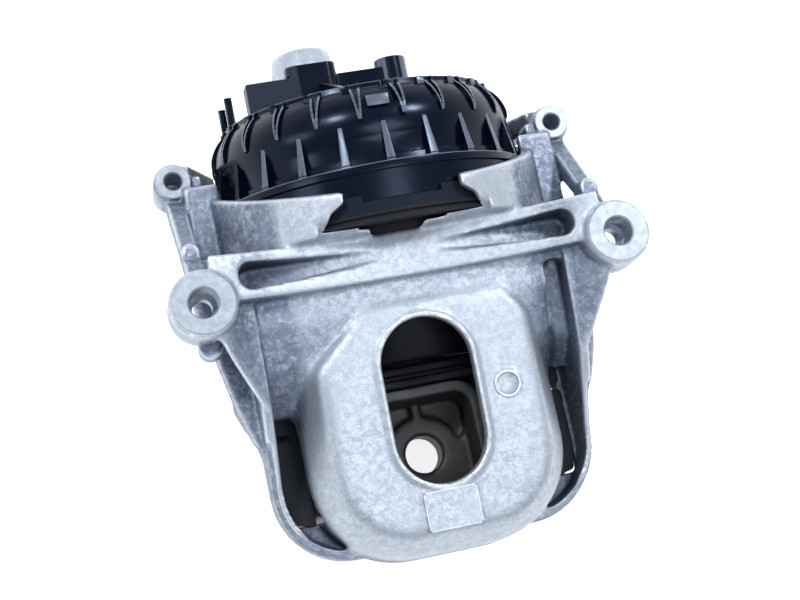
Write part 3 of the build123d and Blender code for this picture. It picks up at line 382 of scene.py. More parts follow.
def plate_prism(name, outline, low, high, bevel, matrix, inset=0.0):
    """Closed plate from a 2-D outline between two heights, its edges bevelled, its top inset."""
    bm = bmesh.new()
    bottom = [bm.verts.new((a, b, low)) for a, b in outline]
    top = [bm.verts.new((a, b, high)) for a, b in outline]
    bm.faces.new(list(reversed(bottom)))
    bm.faces.new(top)
    count = len(outline)
    for index in range(count):
        after = (index + 1) % count
        bm.faces.new((bottom[index], bottom[after], top[after], top[index]))
    if bevel > 0:
        edges = bm.edges[:]
        bmesh.ops.bevel(bm, geom=edges, offset=bevel, segments=2, affect="EDGES", profile=0.5)
    if inset > 0:
        bm.faces.ensure_lookup_table()
        upper = max(bm.faces, key=lambda face: face.calc_center_median().z)
        for thickness in (0.1, inset):
            bmesh.ops.inset_region(bm, faces=[upper], thickness=thickness)
    return from_bmesh(name, bm, matrix)


def rib_plate(outline, angle, thickness, bevel, slant, level):
    """Radial plate of (radius, s) points at an angle, leaning sideways from a level."""
    lean = Matrix(((1, 0, 0, 0), (0, 1, 0, 0), (0, slant, 1, -slant * level), (0, 0, 0, 1)))
    matrix = turned_chamber(angle) @ UPRIGHT @ lean
    return plate_prism("rib", outline, -thickness / 2, thickness / 2, bevel, matrix)


def box_piece(x0, x1, y0, y1, z0, z1, bevel, matrix):
    """Bevelled box."""
    outline = [(x0, y0), (x1, y0), (x1, y1), (x0, y1)]
    return plate_prism("box", outline, z0, z1, bevel, matrix)


def positions(obj):
    """Vertex positions of a mesh in millimetres."""
    data = np.empty(len(obj.data.vertices) * 3)
    obj.data.vertices.foreach_get("co", data)
    return data.reshape(-1, 3) / MM


def set_positions(obj, points):
    """Writes vertex positions in millimetres."""
    obj.data.vertices.foreach_set("co", (points * MM).ravel())
    obj.data.update()


def edge_list(obj):
    """Edges of a mesh as pairs of vertex numbers."""
    data = np.empty(len(obj.data.edges) * 2, dtype=np.int64)
    obj.data.edges.foreach_get("vertices", data)
    return data.reshape(-1, 2)


def relax(obj, steps, weight=None):
    """Smooths a mesh by moving its vertices towards their neighbours, by weight."""
    points = positions(obj)
    edges = edge_list(obj)
    count = len(points)
    a, b = edges[:, 0], edges[:, 1]
    degree = np.maximum(np.bincount(a, minlength=count) + np.bincount(b, minlength=count), 1)
    strength = np.ones(count) if weight is None else weight
    for _ in range(steps):
        mean = np.empty_like(points)
        for axis in range(3):
            column = points[:, axis]
            total = np.bincount(a, column[b], count) + np.bincount(b, column[a], count)
            mean[:, axis] = total / degree
        points = points + (mean - points) * (0.5 * strength)[:, None]
    set_positions(obj, points)


def soften(values, low, high):
    """Smooth step from 0 at low to 1 at high."""
    t = np.clip((values - low) / (high - low), 0, 1)
    return t * t * (3 - 2 * t)


def face_vectors(obj, kind):
    """Centres or normals of a mesh's faces as an array."""
    data = np.empty(len(obj.data.polygons) * 3)
    obj.data.polygons.foreach_get(kind, data)
    return data.reshape(-1, 3)


def set_face_materials(obj, chosen):
    """Gives the chosen faces the mesh's second material."""
    obj.data.polygons.foreach_set("material_index", chosen.astype(np.int32))


def remesh(obj, voxel, steps):
    """Remeshes to a voxel size in millimetres and softens the result."""
    apply_modifier(obj, "REMESH", mode="VOXEL", voxel_size=voxel * MM, adaptivity=0.0)
    relax(obj, steps)


def thin_out(obj, triangles):
    """Reduces a mesh to about a number of triangles."""
    obj.data.calc_loop_triangles()
    have = len(obj.data.loop_triangles)
    if have > triangles:
        apply_modifier(obj, "DECIMATE", ratio=triangles / have)


def shade(obj, angle):
    """Smooth shading with sharp edges past an angle."""
    for polygon in obj.data.polygons:
        polygon.use_smooth = True
    obj.data.set_sharp_from_angle(angle=math.radians(angle))


def finish_piece(obj, node, material):
    """Material, body, slot and the node that the piece stands for."""
    obj.data.materials.clear()
    obj.data.materials.append(material)
    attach(obj, "root")
    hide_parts(node)


class Nodes:
    """Short way to build a node material."""

    def __init__(self, name):
        self.material = bpy.data.materials.new(name)
        self.material.use_nodes = True
        self.tree = self.material.node_tree
        self.shader = self.tree.nodes["Principled BSDF"]
        self.place = self.add("ShaderNodeTexCoord").outputs["Object"]

    def add(self, kind, **settings):
        node = self.tree.nodes.new(kind)
        for key, value in settings.items():
            setattr(node, key, value)
        return node

    def link(self, source, target):
        self.tree.links.new(source, target)

    def noise(self, scale, detail, roughness, distortion=0.0):
        node = self.add("ShaderNodeTexNoise")
        node.inputs["Scale"].default_value = scale
        node.inputs["Detail"].default_value = detail
        node.inputs["Roughness"].default_value = roughness
        node.inputs["Distortion"].default_value = distortion
        self.link(self.place, node.inputs["Vector"])
        return node.outputs["Fac"]

    def ramp(self, source, stops):
        node = self.add("ShaderNodeValToRGB")
        ramp = node.color_ramp
        while len(ramp.elements) < len(stops):
            ramp.elements.new(0.5)
        for element, (place, colour) in zip(ramp.elements, stops):
            element.position = place
            element.color = (*colour, 1)
        self.link(source, node.inputs["Fac"])
        return node.outputs["Color"]

    def span(self, source, low, high, out_low, out_high):
        node = self.add("ShaderNodeMapRange")
        node.inputs["From Min"].default_value = low
        node.inputs["From Max"].default_value = high
        node.inputs["To Min"].default_value = out_low
        node.inputs["To Max"].default_value = out_high
        self.link(source, node.inputs["Value"])
        return node.outputs["Result"]

    def maths(self, operation, first, second):
        node = self.add("ShaderNodeMath", operation=operation)
        for socket, value in zip(node.inputs, (first, second)):
            if isinstance(value, (int, float)):
                socket.default_value = value
            else:
                self.link(value, socket)
        return node.outputs["Value"]

    def mix(self, factor, first, second, blend="MIX"):
        node = self.add("ShaderNodeMix", data_type="RGBA", blend_type=blend)
        for index, value in ((0, factor), (6, first), (7, second)):
            socket = node.inputs[index]
            if isinstance(value, (int, float)):
                socket.default_value = value
            elif isinstance(value, tuple):
                socket.default_value = (*value, 1)
            else:
                self.link(value, socket)
        return node.outputs[2]

    def bump(self, height, strength, distance, under=None):
        node = self.add("ShaderNodeBump")
        node.inputs["Strength"].default_value = strength
        node.inputs["Distance"].default_value = distance
        self.link(height, node.inputs["Height"])
        if under is not None:
            self.link(under, node.inputs["Normal"])
        return node.outputs["Normal"]


def cast_aluminium():
    """Die-cast aluminium: mottled blue-grey skin, with painted light: paler on the lit front
    faces, painted shade in hollows and creases, painted highlights on edges.
    """
    m = Nodes("cast_aluminium")
    broad = m.noise(42, 6, 0.66, 0.8)
    patches = m.noise(420, 8, 0.74, 0.6)
    grain = m.noise(1700, 3, 0.6)
    split = m.add("ShaderNodeSeparateXYZ")
    m.link(m.place, split.inputs["Vector"])
    x, y, z = split.outputs
    # Height over the hood's slanted face, in metres, for painted light: paler on the lit front,
    # less so beside the hood
    over_face = m.maths("SUBTRACT", z, m.maths("MULTIPLY", y, math.tan(FACE_TILT)))
    over_face = m.maths("ADD", over_face, m.span(y, -0.045, -0.018, 0.016, 0.0))
    beside = m.span(m.maths("ABSOLUTE", x, 0.0), 0.040, 0.052, 0.0, 0.009)
    over_face = m.maths("SUBTRACT", over_face, beside)
    over_face = m.maths("ADD", over_face, m.span(y, 0.040, 0.105, 0.0, 0.120))
    painted_light = m.span(over_face, -0.0175, -0.0118, 0.0, 1.0)
    painted_light = m.maths("ADD", painted_light, m.span(broad, 0.3, 0.7, -0.3, 0.3))
    painted_light = m.span(painted_light, 0.0, 1.0, 0.0, 1.0)
    colour = m.mix(painted_light, CAST_GREY, CAST_LIT_PALE)
    clouds = m.ramp(broad, [(0.34, BLACK), (0.62, WHITE)])
    marks = m.ramp(patches, [(0.46, BLACK), (0.56, WHITE)])
    marks = m.maths("MULTIPLY", clouds, marks)
    marks = m.maths("MULTIPLY", marks, m.span(painted_light, 0.0, 1.0, 0.85, 0.26))
    colour = m.mix(marks, colour, CAST_SMUDGE_AND_CREASE_SHADE)
    light_marks = m.ramp(patches, [(0.36, WHITE), (0.46, BLACK)])
    light_marks = m.maths("MULTIPLY", light_marks, m.span(painted_light, 0.0, 1.0, 0.5, 0.3))
    colour = m.mix(light_marks, colour, CAST_LIGHT_MARK)
    speckle = m.span(grain, 0.3, 0.7, 0.88, 1.10)
    tone = m.add("ShaderNodeCombineColor")
    for socket in tone.inputs[:3]:
        m.link(speckle, socket)
    colour = m.mix(1.0, colour, tone.outputs[0], "MULTIPLY")
    # Painted shade: darker where the surface is occluded, in recesses and channels
    shelter = m.add("ShaderNodeAmbientOcclusion", samples=8)
    shelter.inputs["Distance"].default_value = 0.014
    recess_shade = m.span(shelter.outputs["AO"], 0.15, 0.75, 0.75, 0.0)
    colour = m.mix(recess_shade, colour, CAST_RECESS_SHADE)
    # Painted highlight: paler on convex edges
    edge = m.add("ShaderNodeNewGeometry").outputs["Pointiness"]
    edge_highlight = m.span(edge, 0.510, 0.54, 0.0, 0.9)
    colour = m.mix(edge_highlight, colour, CAST_EDGE_HIGHLIGHT)
    # Painted shade: darker in concave creases, in the smudge colour
    crease_shade = m.span(edge, 0.44, 0.49, 0.6, 0.0)
    colour = m.mix(crease_shade, colour, CAST_SMUDGE_AND_CREASE_SHADE)
    m.link(colour, m.shader.inputs["Base Color"])
    rough = m.span(patches, 0.35, 0.65, 0.42, 0.56)
    rough = m.maths("ADD", rough, m.maths("MULTIPLY", edge_highlight, -0.12))
    m.link(rough, m.shader.inputs["Roughness"])
    m.shader.inputs["Metallic"].default_value = 0.75
    skin = m.bump(grain, 0.3, 0.00014)
    skin = m.bump(patches, 0.35, 0.0003, skin)
    m.link(skin, m.shader.inputs["Normal"])
    return m.material


def machined_aluminium():
    """Faced aluminium of the eyes: paler than the casting, with a fine grain."""
    m = Nodes("machined_aluminium")
    grain = m.noise(900, 4, 0.6)
    spots = m.noise(330, 4, 0.6)
    colour = m.ramp(spots, [(0.35, MACHINED_DARK), (0.65, MACHINED_LIGHT)])
    m.link(colour, m.shader.inputs["Base Color"])
    m.link(m.span(grain, 0.3, 0.7, 0.42, 0.54), m.shader.inputs["Roughness"])
    m.shader.inputs["Metallic"].default_value = 0.85
    m.link(m.bump(grain, 0.15, 0.00008), m.shader.inputs["Normal"])
    return m.material


def gloss_plastic(name, base, rough_low, rough_high, gloss):
    """Moulded black plastic: fine orange peel, dust specks and uneven gloss."""
    m = Nodes(name)
    cloud = m.noise(45, 4, 0.6)
    peel = m.noise(700, 3, 0.55)
    dust = m.noise(2600, 2, 0.7)
    specks = m.ramp(dust, [(0.66, BLACK), (0.74, WHITE)])
    pale = tuple(c * 3.0 + 0.02 for c in base)
    colour = m.mix(m.maths("MULTIPLY", specks, 0.5), base, pale)
    m.link(colour, m.shader.inputs["Base Color"])
    rough = m.span(cloud, 0.3, 0.7, rough_low, rough_high)
    rough = m.maths("ADD", rough, m.maths("MULTIPLY", specks, 0.2))
    m.link(rough, m.shader.inputs["Roughness"])
    m.shader.inputs["Specular IOR Level"].default_value = gloss
    m.shader.inputs["Specular Tint"].default_value = (*PLASTIC_SHEEN, 1.0)
    m.link(m.bump(peel, 0.12, 0.00012), m.shader.inputs["Normal"])
    return m.material


def rubber(name, base):
    """Moulded rubber: matt, with a faint bloom."""
    m = Nodes(name)
    bloom = m.noise(120, 4, 0.6)
    grain = m.noise(1400, 3, 0.6)
    pale = tuple(c * 1.9 + 0.006 for c in base)
    m.link(m.mix(m.span(bloom, 0.4, 0.75, 0.0, 0.7), base, pale), m.shader.inputs["Base Color"])
    m.link(m.span(bloom, 0.3, 0.7, 0.52, 0.70), m.shader.inputs["Roughness"])
    m.shader.inputs["Specular IOR Level"].default_value = 0.3
    m.link(m.bump(grain, 0.2, 0.0001), m.shader.inputs["Normal"])
    return m.material


def cast_core():
    """Core: dark grey casting with a fine sandy skin and painted highlights on its edges."""
    m = Nodes("cast_core")
    cloud = m.noise(110, 5, 0.62)
    grain = m.noise(1300, 4, 0.65)
    colour = m.ramp(cloud, [(0.32, CORE_DARK), (0.68, CORE_LIGHT)])
    # Painted highlight: paler on the core's convex edges
    edge = m.add("ShaderNodeNewGeometry").outputs["Pointiness"]
    colour = m.mix(m.span(edge, 0.52, 0.58, 0.0, 0.5), colour, CORE_EDGE_HIGHLIGHT)
    m.link(colour, m.shader.inputs["Base Color"])
    m.link(m.span(cloud, 0.3, 0.7, 0.45, 0.6), m.shader.inputs["Roughness"])
    m.shader.inputs["Metallic"].default_value = 0.55
    m.link(m.bump(grain, 0.35, 0.00015), m.shader.inputs["Normal"])
    return m.material


def turned_metal(name, base):
    """Plain turned or drawn metal for the inner pieces and the contact pins."""
    m = Nodes(name)
    cloud = m.noise(200, 4, 0.6)
    pale = tuple(min(c * 1.2, 1) for c in base)
    m.link(m.mix(m.span(cloud, 0.35, 0.65, 0.0, 1.0), base, pale), m.shader.inputs["Base Color"])
    m.link(m.span(cloud, 0.3, 0.7, 0.28, 0.42), m.shader.inputs["Roughness"])
    m.shader.inputs["Metallic"].default_value = 0.9
    m.link(m.bump(cloud, 0.1, 0.0001), m.shader.inputs["Normal"])
    return m.material


def guarded(profile):
    """Profile with extra points near the ends of long runs, which keep the painted edge
    highlights at the edges.
    """
    result = [profile[0]]
    for start, end in zip(profile, profile[1:]):
        a, b = Vector(start), Vector(end)
        length = (b - a).length
        if length > 3 * EDGE_GUARD:
            share = EDGE_GUARD / length
            result += [tuple(a.lerp(b, share)), tuple(b.lerp(a, share))]
        result.append(end)
    return result


def turned_part(x, y, z, profile):
    """Turned body or bore of an eye, its axis along Z."""
    return lathe("eye", guarded(profile), Matrix.Translation((x, y, z)), EYE_SEGMENTS)


def make_housing(material, machined):
    """Casting: remeshed copy of the solid with cast radii, then crisp eyes and bores."""
    obj = copy_of("housing", "housing_casting")
    remesh(obj, CASTING_VOXEL, CASTING_STEPS)
    round_bulge(obj)
    thin_out(obj, CASTING_TRIANGLES)
    add_face_details(obj)
    for side in (-1, 1):
        combine(obj, turned_part(side * EYE_X, 0, 0, EYE_BODY), "UNION")
        combine(obj, turned_part(side * SMALL_X, SMALL_Y, SMALL_Z, SMALL_BODY), "UNION")
        combine(obj, turned_part(side * EYE_X, 0, 0, EYE_BORE), "DIFFERENCE")
        combine(obj, turned_part(side * SMALL_X, SMALL_Y, SMALL_Z, SMALL_HOLE), "DIFFERENCE")
    shade(obj, 40)
    finish_piece(obj, "housing", material)
    obj.data.materials.append(machined)
    mark_machined(obj)


def mark_machined(obj):
    """Gives the machined faces of the eyes their own material."""
    x, y, z = (face_vectors(obj, "center") / MM).T
    radius = np.hypot(np.abs(x) - EYE_X, y)
    chosen = (z > -0.6) & (radius < EYE_FACE_R + 0.4)
    chosen |= (radius < EYE_BORE_R + 0.6) & (z > -EYE_DEPTH - 2)
    radius = np.hypot(np.abs(x) - SMALL_X, y - SMALL_Y)
    chosen |= (z > SMALL_Z - 0.6) & (radius < SMALL_FACE_R + 0.4)
    chosen |= (radius < SMALL_BORE_R + 0.6) & (z > SMALL_Z - SMALL_DEPTH)
    set_face_materials(obj, chosen)


def round_bulge(obj):
    """Extra rounding on the hood's bulge, whose edges are broad."""
    points = positions(obj)
    x, y, z = points.T
    near_ridge = soften(np.abs(x), 24, 30) * soften(-np.abs(x), -50.5, -47.5)
    near_bottom = soften(-y, 76, 84)
    near_crown = soften(-y, 0, 3) * soften(y, -30, -16) * soften(-np.abs(x), -46, -40)
    band = np.maximum(near_ridge, near_bottom) * soften(-y, 10, 16)
    band = np.maximum(band, near_crown) * soften(z, -46, -42)
    weight = np.clip(band * soften(window_distance(points), 3.0, 7.0), 0, 1)
    relax(obj, BULGE_STEPS, weight)


def face_matrix():
    """Level drawing at height 0 to the slanted front face of the bulge."""
    tilt = Matrix.Rotation(FACE_TILT, 4, "X")
    back = Matrix.Translation((0, -FACE_PIVOT_Y, 0))
    return Matrix.Translation((0, FACE_PIVOT_Y, FACE_Z)) @ tilt @ back


def window_distance(points):
    """Distance from the window's edge, measured on the bulge's face."""
    x, y, z = points.T
    along = (y - FACE_PIVOT_Y) * math.cos(FACE_TILT) + (z - FACE_Z) * math.sin(FACE_TILT)
    along = along + FACE_PIVOT_Y
    straight = WINDOW_HALF_LENGTH - WINDOW_HALF_WIDTH
    over = np.maximum(np.abs(along - WINDOW_Y) - straight, 0)
    return np.hypot(x - WINDOW_X, over) - WINDOW_HALF_WIDTH


def obround(radius):
    """Outline of the window at a radius of its round ends."""
    straight = WINDOW_HALF_LENGTH - WINDOW_HALF_WIDTH
    points = []
    for end in (1, -1):
        for step in range(WINDOW_STEPS + 1):
            angle = math.pi * step / WINDOW_STEPS + (0 if end > 0 else math.pi)
            x = WINDOW_X + radius * math.cos(angle)
            points.append((x, WINDOW_Y + end * straight + radius * math.sin(angle)))
    return points


def window_bead():
    """Closed rounded bead that runs round the window."""
    profile = [(0.0, -2.5), (0.0, 0.35), (0.25, 0.75), (0.8, 0.95), (1.35, 0.85)]
    profile += [(1.9, 0.35), (2.5, -2.5)]
    bm = bmesh.new()
    loops = []
    for offset, height in profile:
        outline = obround(WINDOW_HALF_WIDTH + offset)
        loops.append([bm.verts.new((a, b, height)) for a, b in outline])
    for low, high in zip(loops, [*loops[1:], loops[0]]):
        for index in range(len(low)):
            after = (index + 1) % len(low)
            bm.faces.new((low[index], low[after], high[after], high[index]))
    return from_bmesh("bead", bm, face_matrix())


def add_face_details(obj):
    """Crisp window edge with its bead, raised plain pad and round stamp seat."""
    cutter = plate_prism("window", obround(WINDOW_HALF_WIDTH), -9.0, 4.0, 0, face_matrix())
    combine(obj, cutter, "DIFFERENCE")
    combine(obj, window_bead(), "UNION")
    corners = []
    for a, b in ((-1, -1), (1, -1), (1, 1), (-1, 1)):
        corners.append((PAD_X + a * PAD_HALF_WIDTH, PAD_Y + b * PAD_HALF_LENGTH, PAD_CORNER_R))
    outline = rounded(corners, 4)
    pad = plate_prism("pad", outline, -2.0, PAD_HEIGHT, 0.35, face_matrix(), 0.6)
    combine(obj, pad, "UNION")
    seat = [(3.7, -2.0), (4.9, -2.0), (4.8, 0.2), (4.5, 0.45), (4.1, 0.45), (3.8, 0.2)]
    place = face_matrix() @ Matrix.Translation((STAMP_X, STAMP_Y, 0))
    combine(obj, lathe("stamp_seat", seat, place, STAMP_SEGMENTS), "UNION")


def make_copy(node, name, material, voxel, steps, triangles):
    """Remeshed and softened copy of a node."""
    obj = copy_of(node, name)
    remesh(obj, voxel * VOXEL_FACTOR, steps)
    thin_out(obj, triangles)
    shade(obj, 60)
    finish_piece(obj, node, material)
    return obj


def make_buffer(node, name, side, material):
    """Side buffer, swollen against the channel's outer wall and floor."""
    obj = make_copy(node, name, material, 0.5, 4, 15000)
    points = positions(obj)
    low, high = points.min(axis=0), points.max(axis=0)
    outer = (points[:, 0] - low[0]) / (high[0] - low[0])
    outer = outer if side > 0 else 1 - outer
    bottom = (high[1] - points[:, 1]) / (high[1] - low[1])
    points[:, 0] += side * BUFFER_SWELL * soften(outer, 0.5, 0.9) * soften(-bottom, -0.93, -0.78)
    points[:, 1] -= BUFFER_SWELL * soften(bottom, 0.8, 0.98) * soften(-outer, -0.7, -0.3)
    set_positions(obj, points)


def make_connector(material, block_material):
    """Connector: satin box, and the glossier block beside it."""
    obj = make_copy(
        "connector_housing", "connector_body", material, 0.34, 3, 60000
    )
    obj.data.materials.append(block_material)
    set_face_materials(obj, face_vectors(obj, "center")[:, 0] / MM > CONNECTOR_SPLIT_X)


def bulge_radius(height):
    """Outer radius of the cap's wall at a height along the chamber."""
    if height < BULGE_START_S:
        return CAP_WALL_R
    if height < BULGE_ARC_S - 6:
        return CAP_WALL_R + BULGE_SLOPE * (height - BULGE_START_S)
    rise = min(abs(height - BULGE_ARC_S), BULGE_ARC_R - 0.01)
    return BULGE_CENTRE_R + math.sqrt(BULGE_ARC_R**2 - rise**2)


def cap_profile():
    """Closed outline of the cap's wall, (radius, s), with moulded radii."""
    skirt = [
        (SKIRT_BORE_R, SKIRT_S, 0),
        (SKIRT_R, SKIRT_S, 0.3),
        (SKIRT_R, FLANGE_S, 0.3),
        (FLANGE_R, FLANGE_S, 0.3),
        (FLANGE_R, FLANGE_TOP_S, 0.4),
        (54.7, 42.1, 0.3),
        (54.6, 44.4, 0.5),
        (CAP_WALL_R, 44.7, 0.4),
    ]
    wall = [(bulge_radius(49.0), 49.0, 0)]
    for degrees in range(-22, 50, 3):
        angle = math.radians(degrees)
        radius = BULGE_CENTRE_R + BULGE_ARC_R * math.cos(angle)
        wall.append((radius, BULGE_ARC_S + BULGE_ARC_R * math.sin(angle), 0))
    rim = [
        (RIM_R + 0.2, CAP_END_S, 0.2),
        (RIM_R, RIM_S, 0.3),
        (RIM_R - RIM_WIDTH, RIM_S, 0.3),
        (RIM_R - RIM_WIDTH, CAP_END_S, 0),
        (0, CAP_END_S, 0),
        (0, CAP_END_INNER_S, 0),
        (47.5, CAP_END_INNER_S, 1.0),
        (49.5, 64.4, 1.0),
        (51.8, 61.0, 1.0),
        (52.0, 58.0, 1.0),
        (CAP_BORE_R, 53.0, 1.0),
        (CAP_BORE_R, CAP_BORE_S, 0),
        (SKIRT_BORE_R, CAP_BORE_S, 0),
    ]
    return rounded(skirt + wall + rim, 4)


def flange_rib(angle, slant):
    """Half of a tall rib between flange and wall; two of them spread from one tip."""
    outline = [(52.9, 41.4), (57.15, 41.4), (57.15, 42.5), (54.9, RIB_TOP_S), (52.9, RIB_TOP_S)]
    return rib_plate(outline, angle, RIB_THICKNESS, 0.22, slant, RIB_TOP_S)


def shoulder_rib(angle, rise, slant):
    """Thin rib that curves over the shoulder up to the rim; two of them spread from one foot."""
    heights = (57.5, 59.5, 61.5, 63.5, 65.5, 67.3, 69.0)
    shares = (0.6, 0.9, 1.0, 1.0, 1.0, 1.0, 0.9)
    outer = [(bulge_radius(s) + rise * share, s) for s, share in zip(heights, shares)]
    inner = [(bulge_radius(s) - 1.0, s) for s in reversed(heights[:-1])]
    top = [(RIM_R + 0.9, RIM_S), (RIM_R - 1.2, RIM_S), (RIM_R - 1.2, 68.6)]
    outline = [(54.0, SHOULDER_FOOT_S), *outer, *top, *inner]
    outline = rounded([(a, b, 1.0) for a, b in outline], 2)
    return rib_plate(outline, angle, SHOULDER_RIB_THICKNESS, 0.12, slant, SHOULDER_FOOT_S)


def make_cap(material, painted_light):
    """Black cap: turned wall, ribs, rim lugs, bridge plate and the pieces on its end."""
    obj = lathe("cap_body", cap_profile(), chamber_matrix(), CAP_SEGMENTS)
    for slant in (-RIB_SLANT, RIB_SLANT):
        lower = [flange_rib(RIB_TURN + index * RIB_PITCH, slant) for index in range(RIBS)]
        combine(obj, join(lower, "lower_ribs"), "UNION")
    for slant in (-SHOULDER_RIB_SLANT, SHOULDER_RIB_SLANT):
        upper = []
        for index in range(RIBS):
            rise = BRACKET_RIB_RISE if index in (0, RIBS - 1) else SHOULDER_RIB_RISE
            upper.append(shoulder_rib(RIB_TURN + (index + 0.5) * RIB_PITCH, rise, slant))
        combine(obj, join(upper, "upper_ribs"), "UNION")
    lugs = []
    for index in range(RIBS):
        turn = turned_chamber(RIB_TURN + (index + 0.5) * RIB_PITCH - LUG_OFFSET)
        lugs.append(box_piece(47.8, 50.3, -1.5, 1.5, END_BASE_S, 70.9, 0.2, turn))
    combine(obj, join(lugs, "rim_lugs"), "UNION")
    bridge = box_piece(51.0, 55.6, -4.4, 3.4, 61.4, 65.2, 0.25, turned_chamber(RIB_TURN))
    combine(obj, bridge, "UNION")
    for piece in cap_end_pieces():
        combine(obj, piece, "UNION")
    hole = [
        (0, STUB_BORE_S),
        (STUB_BORE_R, STUB_BORE_S),
        (STUB_BORE_R, STUB_TOP_S - 0.3),
        (STUB_BORE_R + 0.4, STUB_TOP_S),
        (STUB_BORE_R + 0.4, STUB_TOP_S + 1.0),
        (0, STUB_TOP_S + 1.0),
    ]
    combine(obj, lathe("stub_hole", hole, stub_matrix(), STUB_BORE_SEGMENTS), "DIFFERENCE")
    shade(obj, 32)
    finish_piece(obj, "chamber_cap", material)
    # Paler plastic on the rib faces and narrow edges: painted highlight
    obj.data.materials.append(painted_light)
    mark_painted_highlights(obj)


def mark_painted_highlights(obj):
    """Gives the ribs' outer faces and the cap's narrow edges the paler plastic, a painted
    highlight.
    """
    turn = np.array(chamber_matrix().to_3x3())
    centres = (face_vectors(obj, "center") / MM - np.array((0, 0, CHAMBER_Z))) @ turn
    normals = face_vectors(obj, "normal") @ turn
    radius = np.hypot(centres[:, 0], centres[:, 1])
    along = centres[:, 2]
    outward = normals[:, 0] * centres[:, 0] + normals[:, 1] * centres[:, 1]
    outward = outward / np.maximum(radius, 1e-6)
    sideways = np.sqrt(np.clip(1 - outward**2 - normals[:, 2] ** 2, 0, 1))
    wall = np.array([bulge_radius(height) for height in along])
    on_rib = (radius > wall + 0.3) & (along > 44.8) & (along < CAP_END_S + 0.4)
    on_rib &= sideways < 0.92
    on_rib &= outward + normals[:, 2] > 0.3
    flange_edge = (radius > 56.9) & (np.abs(along - 41.8) < 0.45)
    rim_edge = (along > RIM_S - 0.25) & (radius > RIM_R - 0.5) & (radius < RIM_R + 1.5)
    bevels = (along > RIM_S + 0.6) & (np.abs(normals).max(axis=1) < 0.9) & (radius < 52)
    set_face_materials(obj, on_rib | flange_edge | rim_edge | bevels)


def cap_end_pieces():
    """Stub, low wall, lugs, strut, fins and brace on the cap's closed end."""
    place = chamber_matrix()
    base = END_BASE_S
    stub = [(0, base), (STUB_R, base), (STUB_R, STUB_TOP_S - 0.4)]
    stub += [(STUB_R - 0.4, STUB_TOP_S), (0, STUB_TOP_S)]
    low_wall = box_piece(-2.7, 15.4, 3.0, 6.0, base, 88.5, 0.3, place)
    left_lug = box_piece(1.0, 3.0, 0.0, 4.0, base, 75.9, 0.2, place)
    right_lug = box_piece(9.5, 11.5, 0.0, 4.0, base, 75.9, 0.2, place)
    low_fin = box_piece(-49.0, -46.4, 4.0, 5.8, base, 81.4, 0.2, place)
    tall_fin = box_piece(-46.6, -43.8, 0.0, 1.8, base, 84.6, 0.2, place)
    strut = [(24.0, base), (46.9, base), (46.9, 71.1), (24.0, 83.0)]
    brace = [(-46.9, base), (-1.3, base), (-1.3, 84.8), (-46.9, 70.8)]
    return [
        lathe("stub", stub, stub_matrix(), STUB_SEGMENTS),
        low_wall,
        left_lug,
        right_lug,
        low_fin,
        tall_fin,
        plate_prism("strut", strut, -8.3, -6.7, 0.2, place @ UPRIGHT),
        plate_prism("brace", brace, -10.75, -9.25, 0.2, place @ LENGTHWISE),
    ]


def add_light(name, place, aim, size, power):
    """Rectangular white area lamp."""
    lamp = bpy.data.lights.new(name, "AREA")
    lamp.shape = "RECTANGLE"
    lamp.size = size[0]
    lamp.size_y = size[1]
    lamp.energy = power
    obj = link_object(name, lamp)
    obj.location = place
    direction = Vector(aim) - Vector(place)
    obj.rotation_euler = direction.to_track_quat("-Z", "Y").to_euler()


def build_world():
    """White background, a dimmer bluish ceiling for reflections and plain grey light."""
    world = bpy.data.worlds.new("studio")
    scene.world = world
    world.use_nodes = True
    tree = world.node_tree
    back = tree.nodes["Background"]
    rays = tree.nodes.new("ShaderNodeLightPath")
    place = tree.nodes.new("ShaderNodeTexCoord")
    split = tree.nodes.new("ShaderNodeSeparateXYZ")
    tree.links.new(place.outputs["Generated"], split.inputs[0])
    sky = tree.nodes.new("ShaderNodeValToRGB")
    sky.color_ramp.elements[0].position = CEILING_START
    sky.color_ramp.elements[0].color = (*WHITE, 1)
    sky.color_ramp.elements[1].position = CEILING_END
    sky.color_ramp.elements[1].color = (*CEILING, 1)
    tree.links.new(split.outputs["Z"], sky.inputs["Fac"])
    plain = tree.nodes.new("ShaderNodeMix")
    plain.data_type = "RGBA"
    plain.inputs[7].default_value = (*WHITE, 1)
    tree.links.new(rays.outputs["Is Camera Ray"], plain.inputs[0])
    tree.links.new(sky.outputs["Color"], plain.inputs[6])
    tree.links.new(plain.outputs[2], back.inputs["Color"])
    seen = rays.outputs["Is Camera Ray"]
    for ray in ("Is Glossy Ray", "Is Transmission Ray"):
        larger = tree.nodes.new("ShaderNodeMath")
        larger.operation = "MAXIMUM"
        tree.links.new(seen, larger.inputs[0])
        tree.links.new(rays.outputs[ray], larger.inputs[1])
        seen = larger.outputs[0]
    strength = tree.nodes.new("ShaderNodeMapRange")
    strength.inputs["To Min"].default_value = LIGHT_LEVEL
    strength.inputs["To Max"].default_value = SEEN_LEVEL
    tree.links.new(seen, strength.inputs["Value"])
    tree.links.new(strength.outputs["Result"], back.inputs["Strength"])


